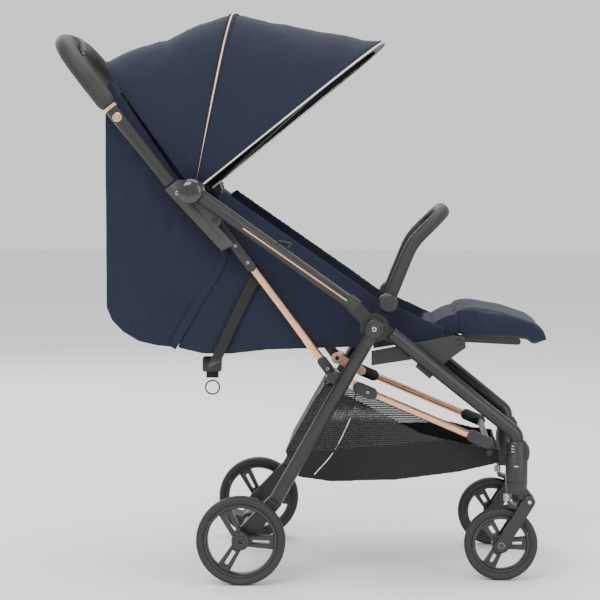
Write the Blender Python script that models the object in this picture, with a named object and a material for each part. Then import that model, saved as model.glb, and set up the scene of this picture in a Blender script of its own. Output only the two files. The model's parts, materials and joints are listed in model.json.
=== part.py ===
"""Folding baby stroller: frame, wheels, handle, canopy, seat, basket and their moving parts.

Metres, +Z up, +X towards the front, +Y to the stroller's left. The origin is on the floor,
under the middle of the bounding box. Side-view places are (x, z) pairs.
"""

import math

import bmesh
import bpy
from mathutils import Matrix, Vector

# ---- clearances ----
TOUCH = 0.0003           # between pieces that touch
RUN = 0.0006             # between pieces that move past each other

# ---- side-view places of the linkage (x, z) ----
MID_PIVOT = (0.139, 0.469)        # side tube, front leg and rear leg
HANDLE_PIVOT = (-0.194, 0.715)    # handle on the side tube
STRUT_TOP = (-0.1535, 0.6625)     # strut on the handle bracket
STRUT_PIVOT = (0.061, 0.378)      # strut on the rear leg
KNEE = (0.1098, 0.3526)           # strut and lower rod
ROD_FRONT = (0.347, 0.253)        # lower rod on the front cross tube
REAR_AXLE = (-0.103, 0.0815)
REAR_FOOT = (-0.041, 0.151)       # lower end of the rear leg tube
CASTER_X = 0.400
FORK_PIVOT = (0.4227, 0.1488)
FRONT_AXLE = (0.372, 0.0675)
LEGREST_HINGE = (0.293, 0.440)
RECLINE_HINGE = (0.004, 0.448)
BUMPER_PIVOT = (0.163, 0.512)

# ---- widths across the stroller ----
HALF_WIDTH = 0.205       # side tubes and the tops of the front legs
CASTER_STEP = 0.035      # swivel axes inside the side tubes
REAR_LEG_GAP = 0.003     # side tube to rear leg, at the middle pivot
REAR_LEAN = 0.030        # rear foot inside the rear leg's top
REAR_WHEEL_GAP = 0.0045  # foot to wheel
HANDLE_GAP = 0.002       # side tube to handle
LINK_GAP = 0.0005        # handle bracket to strut and lower rod
RAIL_LEAN = 0.017        # front leg's lean beside the seat rail, with its gap
STRAP_GAP = 0.004        # strut to recline strap
CLOTH_GAP = 0.007        # strap to the seat, bag and basket walls
CANOPY_GAP = 0.0155      # handle to canopy edge
BOW_GAP = 0.011          # canopy edge to its bow
LEGREST_GAP = 0.005      # leg rest inside the seat's walls

# ---- tubes ----
SIDE_TUBE_R = 0.0125
FRONT_LEG_R = 0.013
REAR_LEG_R = 0.0125
HANDLE_R = 0.0125
GRIP_R = 0.0175
LINK_R = 0.007
ROD_R = 0.0065
KNEE_ARM = 0.005         # plate of the strut beyond the rear leg
BUMPER_R = 0.0125
CROSS_TUBE_R = 0.009
BOW_R = 0.004
PIN_R = 0.004
RAIL_THICK = 0.010
FOOT_THICK = 0.027
ROUND_SIDES = 12

# ---- handle ----
HANDLE_SLOPE = math.radians(128.4)
HANDLE_BEHIND = 0.023    # handle tube behind the pivot
HANDLE_LENGTH = 0.3678
HANDLE_BEND = 0.095
GRIP_START = 0.216
BARE_START = 0.034

# ---- wheels ----
REAR_WHEEL_R = 0.0815
REAR_WHEEL_W = 0.028
FRONT_WHEEL_R = 0.0675
FRONT_WHEEL_W = 0.024
TYRE_DEPTH = 0.0145
WHEEL_STEPS = 32
SPOKES = 3

# ---- caster ----
FORK_HALF = 0.019
FORK_PLATE = 0.005
FORK_WIDTH = 0.025
HOUSING_R = 0.0205
HOUSING_TOP = 0.2585
HOUSING_LOW = 0.184
SWIVEL_LOW = 0.156
SPRING_X = 0.3835
BRIDGE = (0.4006, 0.1370)
SPRING_FOOT = (0.3860, 0.1425)
SPRING_R = 0.0062
SPRING_WIRE = 0.0011
SPRING_TURNS = 4

# ---- canopy: (angle in the side view, radius from the handle pivot) ----
CANOPY_REAR = (124.0, 0.300)
CANOPY_REAR_TOP = (102.0, 0.292)
CANOPY_MID = (79.0, 0.3385)
CANOPY_FRONT_TOP = (54.0, 0.371)
CANOPY_FRONT = (39.0, 0.446)
SEAM_GAP = 0.4           # degrees between the two canopy panels
CANOPY_ROOT = 0.030      # where the cloth starts, from the pivot
CLOTH = 0.003
ARCH_ACROSS = 0.55       # how square the arch is
ARCH_RISE = 0.62
MID_BOW_LENGTH = 0.326
FRONT_BOW_LENGTH = 0.405
FRONT_BOW_ANGLE = 42.0

# ---- seat, bag and basket outlines (x, z) ----
SEAT_OUTLINE = [(-0.228, 0.424), (-0.180, 0.413), (-0.130, 0.413), (-0.060, 0.421), (0.100, 0.427),
                (0.262, 0.440), (0.268, 0.462), (0.215, 0.487), (0.140, 0.520), (0.096, 0.552),
                (-0.140, 0.716), (-0.152, 0.706), (-0.139, 0.596)]
BAG_OUTLINE = [(-0.232, 0.4245), (-0.143, 0.597), (-0.157, 0.700), (-0.222, 0.735), (-0.352, 0.925),
               (-0.361, 0.890), (-0.361, 0.500), (-0.350, 0.475), (-0.331, 0.454), (-0.300, 0.4355),
               (-0.267, 0.428)]
BASKET_OUTLINE = [(0.045, 0.361), (-0.028, 0.231), (-0.003, 0.183), (0.057, 0.175), (0.1785, 0.179),
                  (0.294, 0.1945), (0.3725, 0.213), (0.372, 0.238), (0.330, 0.243), (0.224, 0.268),
                  (0.112, 0.325)]
SOFT_WALL = 0.004
SEAT_FLOOR = 0.010
BACKREST_LENGTH = 0.285
BACKREST_RISE = math.radians(5.0)
BACKREST_THICK = 0.016
LEGREST_REACH = 0.157

SIDES = {"right": -1, "left": 1}

COLOURS = {
    "charcoal": ((0.045, 0.045, 0.047), 0.38, 0.6),
    "rose_gold": ((0.74, 0.40, 0.27), 0.25, 1.0),
    "black_plastic": ((0.012, 0.012, 0.013), 0.45, 0.0),
    "gloss_black": ((0.006, 0.006, 0.007), 0.12, 0.0),
    "rubber": ((0.014, 0.014, 0.014), 0.75, 0.0),
    "grip": ((0.016, 0.016, 0.016), 0.55, 0.0),
    "navy": ((0.020, 0.026, 0.055), 0.85, 0.0),
    "black_fabric": ((0.010, 0.010, 0.011), 0.9, 0.0),
    "steel": ((0.55, 0.55, 0.56), 0.25, 1.0),
}


# ---- helpers ----
def clear_scene():
    for old in list(bpy.data.objects):
        bpy.data.objects.remove(old)


def material(name):
    found = bpy.data.materials.get(name)
    if found:
        return found
    colour, rough, metal = COLOURS[name]
    made = bpy.data.materials.new(name)
    made.use_nodes = True
    shader = made.node_tree.nodes["Principled BSDF"]
    shader.inputs["Base Color"].default_value = (*colour, 1)
    shader.inputs["Roughness"].default_value = rough
    shader.inputs["Metallic"].default_value = metal
    return made


def finish_mesh(bm, name, finish):
    """A new object from a bmesh, with faces out and round stretches smooth."""
    bmesh.ops.remove_doubles(bm, verts=bm.verts, dist=1e-6)
    bmesh.ops.recalc_face_normals(bm, faces=bm.faces)
    mesh = bpy.data.meshes.new(name)
    bm.to_mesh(mesh)
    bm.free()
    mesh.materials.append(material(finish))
    mesh.shade_smooth()
    mesh.set_sharp_from_angle(angle=math.radians(35))
    made = bpy.data.objects.new(name, mesh)
    bpy.context.scene.collection.objects.link(made)
    return made


def xz(point, y):
    return Vector((point[0], y, point[1]))


def along(start, slope, length):
    return (start[0] + length * math.cos(slope), start[1] + length * math.sin(slope))


def slope_of(start, end):
    return math.atan2(end[1] - start[1], end[0] - start[0])


def between(start, end, share):
    return tuple(a + (b - a) * share for a, b in zip(start, end))


def filleted(points, radius, steps=5):
    """The polyline with its corners rounded."""
    points = [Vector(p) for p in points]
    path = [points[0]]
    for before, corner, after in zip(points, points[1:], points[2:]):
        into = (before - corner).normalized()
        out = (after - corner).normalized()
        half = into.angle(out) / 2
        cut = radius / math.tan(half)
        centre = corner + (into + out).normalized() * radius / math.sin(half)
        first = corner + into * cut - centre
        last = corner + out * cut - centre
        sweep = first.angle(last)
        for i in range(steps + 1):
            share = i / steps
            a = math.sin((1 - share) * sweep) / math.sin(sweep)
            b = math.sin(share * sweep) / math.sin(sweep)
            path.append(centre + first * a + last * b)
    path.append(points[-1])
    return path


def rings_along(bm, path, radius, sides):
    """Rings square to the path, whose first vertices follow each other without twist."""
    rings = []
    across = None
    for i, here in enumerate(path):
        ahead = path[min(i + 1, len(path) - 1)] - here
        behind = here - path[max(i - 1, 0)]
        tangent = (ahead.normalized() + behind.normalized()).normalized()
        if across is None:
            across = Vector((0, 1, 0)) if abs(tangent.y) < 0.9 else Vector((1, 0, 0))
        across = (across - tangent * across.dot(tangent)).normalized()
        turn = Matrix((across, tangent.cross(across), tangent)).transposed().to_4x4()
        made = bmesh.ops.create_circle(bm, segments=sides, radius=radius,
                                       matrix=Matrix.Translation(here) @ turn)
        rings.append(made["verts"])
    return rings


def skin(bm, rings):
    """Quads between each ring and the next."""
    for low, high in zip(rings, rings[1:]):
        edges = [e for e in bm.edges if all(v in low for v in e.verts)]
        edges += [e for e in bm.edges if all(v in high for v in e.verts)]
        bmesh.ops.bridge_loops(bm, edges=edges)


def tube(name, points, radius, finish, sides=ROUND_SIDES):
    """A round bar along the points."""
    bm = bmesh.new()
    rings = rings_along(bm, [Vector(p) for p in points], radius, sides)
    skin(bm, rings)
    bm.faces.new(rings[0])
    bm.faces.new(rings[-1])
    return finish_mesh(bm, name, finish)


def turned(name, profile, centre, finish, axis="Y", steps=24):
    """A turned piece: the profile is (radius, place along the axis), a closed outline."""
    bm = bmesh.new()
    verts = [bm.verts.new((r, 0, a)) for r, a in profile]
    edges = [bm.edges.new(pair) for pair in zip(verts, verts[1:] + verts[:1])]
    on_axis = [e for e in edges if all(v.co.x < 1e-7 for v in e.verts)]
    for edge in on_axis:
        edges.remove(edge)
        bm.edges.remove(edge)
    bmesh.ops.spin(bm, geom=edges, cent=(0, 0, 0), axis=(0, 0, 1), angle=math.tau,
                   steps=steps, use_merge=True)
    if axis == "Y":
        bmesh.ops.rotate(bm, verts=bm.verts, matrix=Matrix.Rotation(-math.pi / 2, 3, "X"))
    bmesh.ops.translate(bm, verts=bm.verts, vec=centre)
    return finish_mesh(bm, name, finish)


def rod_y(name, centre, radius, y0, y1, finish, steps=16):
    """A plain pin along Y through a side-view place."""
    profile = [(0, y0), (radius, y0), (radius, y1), (0, y1)]
    return turned(name, profile, xz(centre, 0), finish, steps=steps)


def plate(name, outline, y0, y1, finish):
    """A side-view outline, thick from y0 to y1."""
    bm = bmesh.new()
    face = bm.faces.new([bm.verts.new(xz(p, y0)) for p in outline])
    made = bmesh.ops.extrude_face_region(bm, geom=[face])
    moved = [v for v in made["geom"] if isinstance(v, bmesh.types.BMVert)]
    bmesh.ops.translate(bm, verts=moved, vec=(0, y1 - y0, 0))
    return finish_mesh(bm, name, finish)


def block(name, low, high, finish):
    outline = [(low[0], low[2]), (high[0], low[2]), (high[0], high[2]), (low[0], high[2])]
    return plate(name, outline, low[1], high[1], finish)


def bar_outline(start, end, width, steps=6):
    """A side-view bar with round ends."""
    slope = slope_of(start, end)
    points = []
    for centre, first in ((end, slope - math.pi / 2), (start, slope + math.pi / 2)):
        for i in range(steps + 1):
            points.append(along(centre, first + math.pi * i / steps, width / 2))
    return points


def inset_outline(outline, wall):
    """The outline moved in by the wall, corner by corner."""
    area = sum(a[0] * b[1] - b[0] * a[1] for a, b in zip(outline, outline[1:] + outline[:1]))
    inward = 1 if area > 0 else -1
    moved = []
    for i, here in enumerate(outline):
        before = Vector(outline[i - 1])
        after = Vector(outline[(i + 1) % len(outline)])
        here = Vector(here)
        first = (here - before).normalized()
        second = (after - here).normalized()
        n1 = Vector((-first.y, first.x)) * inward
        n2 = Vector((-second.y, second.x)) * inward
        bisector = (n1 + n2).normalized()
        moved.append(tuple(here + bisector * wall / max(0.5, bisector.dot(n1))))
    return moved


def combine(base, operation, *others):
    """A live Boolean of the base with each of the others, which then are only guides."""
    for other in others:
        step = base.modifiers.new(operation.lower(), "BOOLEAN")
        step.operation = operation
        step.solver = "EXACT"
        step.object = other
        other.hide_render = True
        other.display_type = "WIRE"
    return base


def pivot_at(name, place, *pieces):
    """Parents the pieces to an empty on their joint's axis."""
    empty = bpy.data.objects.new(name, None)
    empty.location = place
    bpy.context.scene.collection.objects.link(empty)
    for piece in pieces:
        piece.parent = empty
        piece.matrix_parent_inverse = Matrix.Translation(-Vector(place))
    return empty


def spans(side, inner, outer):
    """The y range of a piece from its inner and outer distance, low first."""
    return tuple(sorted((side * inner, side * outer)))


# ---- places that follow from the driving sizes ----
HANDLE_FOOT = along(HANDLE_PIVOT, HANDLE_SLOPE + math.pi / 2, HANDLE_BEHIND)
CROSSBAR = along(HANDLE_FOOT, HANDLE_SLOPE, HANDLE_LENGTH)
CASTER_HALF = HALF_WIDTH - CASTER_STEP
HANDLE_HALF = HALF_WIDTH - SIDE_TUBE_R - HANDLE_GAP - HANDLE_R
LINK_HALF = HANDLE_HALF - HANDLE_R - LINK_GAP - LINK_R
REAR_LEG_HALF = HALF_WIDTH + SIDE_TUBE_R + REAR_LEG_GAP + REAR_LEG_R
REAR_FOOT_HALF = REAR_LEG_HALF - REAR_LEAN
REAR_WHEEL_HALF = REAR_FOOT_HALF + FOOT_THICK / 2 + REAR_WHEEL_GAP + REAR_WHEEL_W / 2
PLATE_HALF = HALF_WIDTH - FRONT_LEG_R - RAIL_LEAN - RAIL_THICK / 2
STRAP_HALF = LINK_HALF - LINK_R - STRAP_GAP
CLOTH_HALF = STRAP_HALF - CLOTH_GAP
CANOPY_HALF = HANDLE_HALF - HANDLE_R - CANOPY_GAP
BOW_HALF = CANOPY_HALF - BOW_GAP
LEGREST_HALF = CLOTH_HALF - LEGREST_GAP
DISC_R = 0.026           # discs at the middle pivot
DISC_REACH = 0.036       # where the tubes end short of the discs
TUBE_LINE = 0.013        # tubes' centre line above the middle pivot
SIDE_LOW = (MID_PIVOT[0], MID_PIVOT[1] + TUBE_LINE)
SIDE_HIGH = (HANDLE_PIVOT[0], HANDLE_PIVOT[1] + 0.004)
FRONT_TOP = SIDE_LOW
FRONT_BEND = (0.222, 0.415)
FRONT_KNEE = (CASTER_X - 0.003, 0.2735)


# ---- frame ----
def front_leg(name, side):
    """Front leg tube from the middle pivot, bent down into the caster housing."""
    slope = slope_of(FRONT_TOP, FRONT_BEND)
    start = along(FRONT_TOP, slope, DISC_REACH + 0.002)
    lean = HALF_WIDTH - CASTER_HALF
    drop = FRONT_KNEE[0] - FRONT_TOP[0]

    def y_at(x):
        return side * (HALF_WIDTH - lean * min(1, (x - FRONT_TOP[0]) / drop))

    corner = (CASTER_X, 0.271)
    points = [xz(start, y_at(start[0])), xz(FRONT_BEND, y_at(FRONT_BEND[0])),
              xz(corner, side * CASTER_HALF), Vector((CASTER_X, side * CASTER_HALF, HOUSING_TOP - 0.022))]
    path = [points[0], *filleted(points[1:], 0.022, 6)]
    leg = tube(name, path, FRONT_LEG_R, "charcoal")
    outer = HALF_WIDTH - RUN / 2
    lug = plate(name + "_lug", bar_outline(MID_PIVOT, along(start, slope, 0.012), 2 * SIDE_TUBE_R),
                *spans(side, HALF_WIDTH - FRONT_LEG_R + 0.001, outer), "charcoal")
    disc = rod_y(name + "_disc", MID_PIVOT, DISC_R - 0.003,
                 *spans(side, HALF_WIDTH - FRONT_LEG_R + 0.001, outer), "charcoal", 24)
    hole = rod_y(name + "_hole", MID_PIVOT, PIN_R + TOUCH, *spans(side, 0.1, 0.3), "charcoal")
    combine(leg, "UNION", lug, disc)
    return combine(leg, "DIFFERENCE", hole)


def side_tube(name, side):
    """Upper side tube from the handle pivot down to the middle pivot."""
    slope = slope_of(SIDE_LOW, SIDE_HIGH)
    low = along(SIDE_LOW, slope, DISC_REACH + 0.002)
    body = tube(name, [xz(low, side * HALF_WIDTH), xz(SIDE_HIGH, side * HALF_WIDTH)],
                SIDE_TUBE_R, "charcoal")
    inner = HALF_WIDTH + RUN / 2
    outer = HALF_WIDTH + SIDE_TUBE_R
    lug = plate(name + "_lug", bar_outline(MID_PIVOT, along(low, slope, 0.012), 2 * SIDE_TUBE_R),
                *spans(side, inner, outer - 0.001), "charcoal")
    disc = rod_y(name + "_disc", MID_PIVOT, DISC_R, *spans(side, inner, outer), "charcoal", 24)
    top = rod_y(name + "_top", HANDLE_PIVOT, 0.020,
                *spans(side, HALF_WIDTH - SIDE_TUBE_R, outer), "charcoal", 24)
    low_hole = rod_y(name + "_low_hole", MID_PIVOT, PIN_R + TOUCH, *spans(side, 0.1, 0.3), "charcoal")
    top_hole = rod_y(name + "_top_hole", HANDLE_PIVOT, PIN_R + 0.001 + TOUCH,
                     *spans(side, 0.1, 0.3), "charcoal")
    combine(body, "UNION", lug, disc, top)
    return combine(body, "DIFFERENCE", low_hole, top_hole)


def mid_pivot(name, side):
    """Pin with a low round head, through the three members at the middle pivot."""
    inner = HALF_WIDTH - FRONT_LEG_R + 0.001
    outer = REAR_LEG_HALF + REAR_LEG_R + 0.0006
    head = 0.009
    profile = [(0, inner - 0.003), (head, inner - 0.003), (head, inner - TOUCH), (PIN_R, inner - TOUCH),
               (PIN_R, outer + RUN), (head, outer + RUN), (head - 0.002, outer + 0.003), (0, outer + 0.003)]
    profile = [(r, side * a) for r, a in profile]
    return turned(name, profile, xz(MID_PIVOT, 0), "steel", steps=16)


def rear_leg(name, side):
    """Rear leg tube outside the side tube, leaning in to its foot."""
    slope = slope_of(MID_PIVOT, REAR_FOOT)
    top = along(MID_PIVOT, slope, -0.015)
    lean = (REAR_LEG_HALF - REAR_FOOT_HALF) / math.dist(MID_PIVOT, REAR_FOOT)
    path = [xz(top, side * (REAR_LEG_HALF + 0.015 * lean)), xz(REAR_FOOT, side * REAR_FOOT_HALF)]
    leg = tube(name, path, REAR_LEG_R, "charcoal")
    hole = rod_y(name + "_hole", MID_PIVOT, PIN_R + TOUCH, *spans(side, 0.1, 0.3), "charcoal")
    return combine(leg, "DIFFERENCE", hole)


def rear_foot(name, side):
    """Moulded foot from the leg tube down to the round drum on the rear axle."""
    slope = slope_of(MID_PIVOT, REAR_FOOT)
    top = along(REAR_FOOT, slope, 0.0018)
    half = FOOT_THICK / 2
    normal = slope + math.pi / 2
    start = slope_of(REAR_AXLE, top)
    drum = [along(REAR_AXLE, start + math.radians(a), 0.0175) for a in range(60, 301, 30)]
    outline = [along(top, normal, -half), *drum, along(top, normal, half)]
    foot = plate(name, outline, *spans(side, REAR_FOOT_HALF - half, REAR_FOOT_HALF + half), "black_plastic")
    hole = rod_y(name + "_hole", REAR_AXLE, PIN_R + TOUCH, *spans(side, 0.1, 0.3), "black_plastic")
    return combine(foot, "DIFFERENCE", hole)


def rear_axle():
    """Cross tube between the feet, stepped down to the pins that carry the wheels."""
    inner = REAR_FOOT_HALF - FOOT_THICK / 2 - TOUCH
    outer = REAR_WHEEL_HALF + REAR_WHEEL_W / 2 - 0.003
    half = [(CROSS_TUBE_R, inner), (PIN_R, inner), (PIN_R, outer), (0, outer)]
    profile = [(0, -outer), (PIN_R, -outer), (PIN_R, -inner), (CROSS_TUBE_R, -inner)] + half
    return turned("rear_axle", profile, xz(REAR_AXLE, 0), "steel", steps=16)


def brake_pedal():
    """Foot bar clipped round the middle of the rear axle."""
    width = 0.032
    clip = CROSS_TUBE_R + RUN
    ring = [(clip, -width), (clip + 0.005, -width), (clip + 0.005, width), (clip, width)]
    pedal = turned("brake_pedal", ring, xz(REAR_AXLE, 0), "black_plastic", steps=20)
    toe = along(REAR_AXLE, math.radians(165), 0.052)
    root = along(REAR_AXLE, math.radians(165), clip + 0.003)
    bar = plate("pedal_bar", bar_outline(root, toe, 0.006), -width + 0.001, width - 0.001, "black_plastic")
    bore = rod_y("pedal_bore", REAR_AXLE, clip, -0.1, 0.1, "black_plastic", 20)
    combine(pedal, "UNION", bar)
    return combine(pedal, "DIFFERENCE", bore)


def front_cross_tube():
    """Tube between the front legs, low down, which carries the lower rods."""
    lean = (HALF_WIDTH - CASTER_HALF) / (FRONT_KNEE[0] - FRONT_TOP[0])
    reach = HALF_WIDTH - lean * (ROD_FRONT[0] - FRONT_TOP[0]) - FRONT_LEG_R - 0.002
    return rod_y("front_cross_tube", ROD_FRONT, 0.006, -reach, reach, "charcoal")


# ---- wheels ----
def tyre(name, centre, radius, width):
    """Round-shouldered tread with a flat inner face on the rim."""
    inner = radius - TYRE_DEPTH
    half = width / 2
    profile = [(inner, -half + 0.003), (inner + 0.004, -half), (radius - 0.006, -half),
               (radius - 0.0015, -half + 0.004), (radius, -half + 0.009), (radius, half - 0.009),
               (radius - 0.0015, half - 0.004), (radius - 0.006, half), (inner + 0.004, half),
               (inner, half - 0.003)]
    return turned(name, profile, centre, "rubber", steps=WHEEL_STEPS)


def rim(name, centre, radius, width, bore):
    """Rim ring, hub and three slotted spokes."""
    outer = radius - TYRE_DEPTH - TOUCH
    half = width / 2
    thick = 0.0065
    ring = [(outer - thick, -half + 0.004), (outer, -half + 0.002), (outer, half - 0.002),
            (outer - thick, half - 0.004)]
    made = turned(name, ring, centre, "black_plastic", steps=WHEEL_STEPS)
    hub_r = 0.0165
    hub = [(0, -half + 0.001), (hub_r, -half + 0.001), (hub_r, half - 0.001), (0, half - 0.001)]
    combine(made, "UNION", turned(name + "_hub", hub, centre, "black_plastic", steps=20))
    place = (centre.x, centre.z)
    for i in range(SPOKES):
        slope = math.radians(90 + 360 * i / SPOKES)
        root = along(place, slope, hub_r - 0.004)
        end = along(place, slope, outer - 0.003)
        side = slope + math.pi / 2
        corners = [along(root, side, 0.0095), along(root, side, -0.0095),
                   along(end, side, -0.013), along(end, side, 0.013)]
        spoke = plate(name + f"_spoke{i}", corners, centre.y - half + 0.006, centre.y + half - 0.006,
                      "black_plastic")
        combine(made, "UNION", spoke)
        slot_in = along(place, slope, hub_r + 0.006)
        slot_out = along(place, slope, outer - thick - 0.006)
        slot = plate(name + f"_slot{i}", bar_outline(slot_in, slot_out, 0.006), centre.y - 0.05,
                     centre.y + 0.05, "black_plastic")
        combine(made, "DIFFERENCE", slot)
    hole = rod_y(name + "_bore", place, bore + TOUCH, centre.y - 0.05, centre.y + 0.05, "black_plastic")
    return combine(made, "DIFFERENCE", hole)


# ---- casters ----
def caster_housing(name, side):
    """Moulded socket over the end of the front leg, with a turned swivel body below."""
    centre = Vector((CASTER_X, side * CASTER_HALF, 0))
    seat = FRONT_LEG_R + TOUCH
    low = HOUSING_TOP - 0.0223
    profile = [(0, HOUSING_LOW), (HOUSING_R, HOUSING_LOW), (HOUSING_R, low - 0.006),
               (HOUSING_R - 0.002, low - 0.003), (HOUSING_R - 0.002, HOUSING_TOP - 0.004),
               (HOUSING_R - 0.004, HOUSING_TOP), (seat, HOUSING_TOP), (seat, low), (0, low)]
    housing = turned(name, profile, centre, "black_plastic", axis="Z", steps=24)
    stem_r = 0.006 + TOUCH
    bore = turned(name + "_bore", [(0, HOUSING_LOW - 0.01), (stem_r, HOUSING_LOW - 0.01),
                                   (stem_r, HOUSING_LOW + 0.030), (0, HOUSING_LOW + 0.030)],
                  centre, "black_plastic", axis="Z", steps=16)
    return combine(housing, "DIFFERENCE", bore)


def caster_swivel(name, side):
    """Swivel body with its stem, and the lug that holds the fork's pivot."""
    centre = Vector((CASTER_X, side * CASTER_HALF, 0))
    top = HOUSING_LOW - RUN
    profile = [(0, SWIVEL_LOW + 0.006), (HOUSING_R - 0.002, SWIVEL_LOW + 0.006), (HOUSING_R, top - 0.003),
               (HOUSING_R, top), (0.006, top), (0.006, top + 0.028), (0, top + 0.028)]
    swivel = turned(name, profile, centre, "black_plastic", axis="Z", steps=24)
    half = FORK_HALF - FORK_PLATE / 2 - RUN
    lug = plate(name + "_lug", bar_outline(FORK_PIVOT, along(FORK_PIVOT, math.radians(125), 0.017), 0.020),
                side * CASTER_HALF - half, side * CASTER_HALF + half, "black_plastic")
    hole = rod_y(name + "_hole", FORK_PIVOT, PIN_R + RUN / 2, -0.3, 0.3, "black_plastic")
    combine(swivel, "UNION", lug)
    return combine(swivel, "DIFFERENCE", hole)


def fork(name, side):
    """Two arms from the suspension pivot to the axle, with their bridge and pivot pin."""
    y = side * CASTER_HALF
    half = FORK_PLATE / 2
    arms = []
    for i, turn in enumerate((-1, 1)):
        mid = y + turn * FORK_HALF
        arm = plate(name if i == 0 else name + "_arm",
                    bar_outline(FRONT_AXLE, FORK_PIVOT, FORK_WIDTH - 0.003),
                    mid - half, mid + half, "black_plastic")
        arms.append(arm)
    bridge = plate(name + "_bridge", bar_outline(BRIDGE, SPRING_FOOT, 0.006),
                   y - FORK_HALF + 0.001, y + FORK_HALF - 0.001, "black_plastic")
    reach = FORK_HALF + 0.001
    pin = rod_y(name + "_pin", FORK_PIVOT, PIN_R, y - reach, y + reach, "black_plastic")
    combine(arms[0], "UNION", bridge, arms[1], pin)
    hole = rod_y(name + "_hole", FRONT_AXLE, 0.003 + TOUCH, -0.3, 0.3, "black_plastic")
    return combine(arms[0], "DIFFERENCE", hole)


def front_axle(name, side):
    y = side * CASTER_HALF
    half = FORK_HALF + FORK_PLATE / 2
    profile = [(0, y - half - 0.002), (0.006, y - half - 0.002), (0.006, y - half - TOUCH),
               (0.003, y - half - TOUCH), (0.003, y + half + TOUCH), (0.006, y + half + TOUCH),
               (0.006, y + half + 0.002), (0, y + half + 0.002)]
    return turned(name, profile, xz(FRONT_AXLE, 0), "steel", steps=12)


def coil_spring(name, side):
    """Small compression spring between the swivel body and the fork's bridge."""
    low = SPRING_FOOT[1] + 0.003 + SPRING_WIRE + TOUCH
    high = SWIVEL_LOW + 0.006 - TOUCH - SPRING_WIRE
    steps = SPRING_TURNS * 10
    path = []
    for i in range(steps + 1):
        turn = math.tau * SPRING_TURNS * i / steps
        path.append((SPRING_X + SPRING_R * math.cos(turn), side * CASTER_HALF + SPRING_R * math.sin(turn),
                     low + (high - low) * i / steps))
    return tube(name, path, SPRING_WIRE, "steel", sides=6)


# ---- handle and fold linkage ----
def handle_path(first):
    slope = HANDLE_SLOPE
    foot = along(HANDLE_FOOT, slope, first)
    corners = [xz(foot, -HANDLE_HALF), xz(CROSSBAR, -HANDLE_HALF), xz(CROSSBAR, HANDLE_HALF),
               xz(foot, HANDLE_HALF)]
    return filleted(corners, HANDLE_BEND, 7)


def handle_grip():
    """Padded sleeve round the top of the handle, with the pocket of the fold button."""
    grip = tube("handle_grip", handle_path(GRIP_START), GRIP_R, "grip")
    band = [(0, -0.034), (GRIP_R, -0.034), (GRIP_R + 0.002, -0.032), (GRIP_R + 0.002, 0.032),
            (GRIP_R, 0.034), (0, 0.034)]
    combine(grip, "UNION", turned("grip_housing", band, xz(CROSSBAR, 0), "grip", steps=20))
    core = tube("grip_core", handle_path(GRIP_START - 0.02), HANDLE_R + TOUCH, "grip")
    combine(grip, "DIFFERENCE", core)
    facing = HANDLE_SLOPE + math.pi
    out = along(CROSSBAR, facing, GRIP_R + 0.01)
    into = along(CROSSBAR, facing, HANDLE_R + 0.0012)
    side = facing + math.pi / 2
    half = 0.007 + RUN
    corners = [along(out, side, half), along(out, side, -half),
               along(into, side, -half), along(into, side, half)]
    pocket = plate("grip_pocket", corners, -0.014 - RUN, 0.014 + RUN, "grip")
    return combine(grip, "DIFFERENCE", pocket)


def fold_button():
    """Push button in the pocket under the middle of the crossbar."""
    facing = HANDLE_SLOPE + math.pi
    out = along(CROSSBAR, facing, GRIP_R + 0.004)
    into = along(CROSSBAR, facing, HANDLE_R + 0.0047)
    side = facing + math.pi / 2
    half = 0.007
    corners = [along(out, side, half), along(out, side, -half),
               along(into, side, -half), along(into, side, half)]
    return plate("fold_button", corners, -0.014, 0.014, "gloss_black")


def handle_bracket(name, side):
    """Moulding round the handle pivot and down to the strut's pin."""
    slope = HANDLE_SLOPE
    back = slope + math.pi / 2
    rear_top = along(along(HANDLE_FOOT, slope, BARE_START - TOUCH), back, HANDLE_R + 0.002)
    front_top = along(along(HANDLE_FOOT, slope, BARE_START - TOUCH), back, -HANDLE_R - 0.002)
    nose = [along(HANDLE_PIVOT, math.radians(a), 0.022) for a in range(60, -31, -30)]
    bulge = [along(STRUT_TOP, math.radians(a), 0.013) for a in range(30, -61, -30)]
    foot_front = along(HANDLE_FOOT, slope, -0.124)
    foot_front = along(foot_front, back, -HANDLE_R - 0.011)
    foot_rear = along(along(HANDLE_FOOT, slope, -0.118), back, HANDLE_R - 0.010)
    outline = [front_top, *nose, *bulge, foot_front, foot_rear, rear_top]
    half = HANDLE_R
    body = plate(name, outline, *spans(side, HANDLE_HALF - half, HANDLE_HALF + half), "charcoal")
    hole = rod_y(name + "_hole", HANDLE_PIVOT, PIN_R + 0.001 + TOUCH, *spans(side, 0.1, 0.3), "charcoal")
    return combine(body, "DIFFERENCE", hole)


def hub_cap(name, side):
    """Domed cap on the handle pivot, with the pin behind it."""
    face = HALF_WIDTH + SIDE_TUBE_R + TOUCH
    end = HANDLE_HALF - HANDLE_R - 0.003
    pin = PIN_R + 0.001
    profile = [(0, end), (pin, end), (pin, face), (0.023, face), (0.023, face + 0.004),
               (0.0205, face + 0.0075), (0.014, face + 0.0095), (0.006, face + 0.0100),
               (0.006, face + 0.0085), (0, face + 0.0085)]
    profile = [(r, side * a) for r, a in profile]
    return turned(name, profile, xz(HANDLE_PIVOT, 0), "gloss_black")


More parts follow.
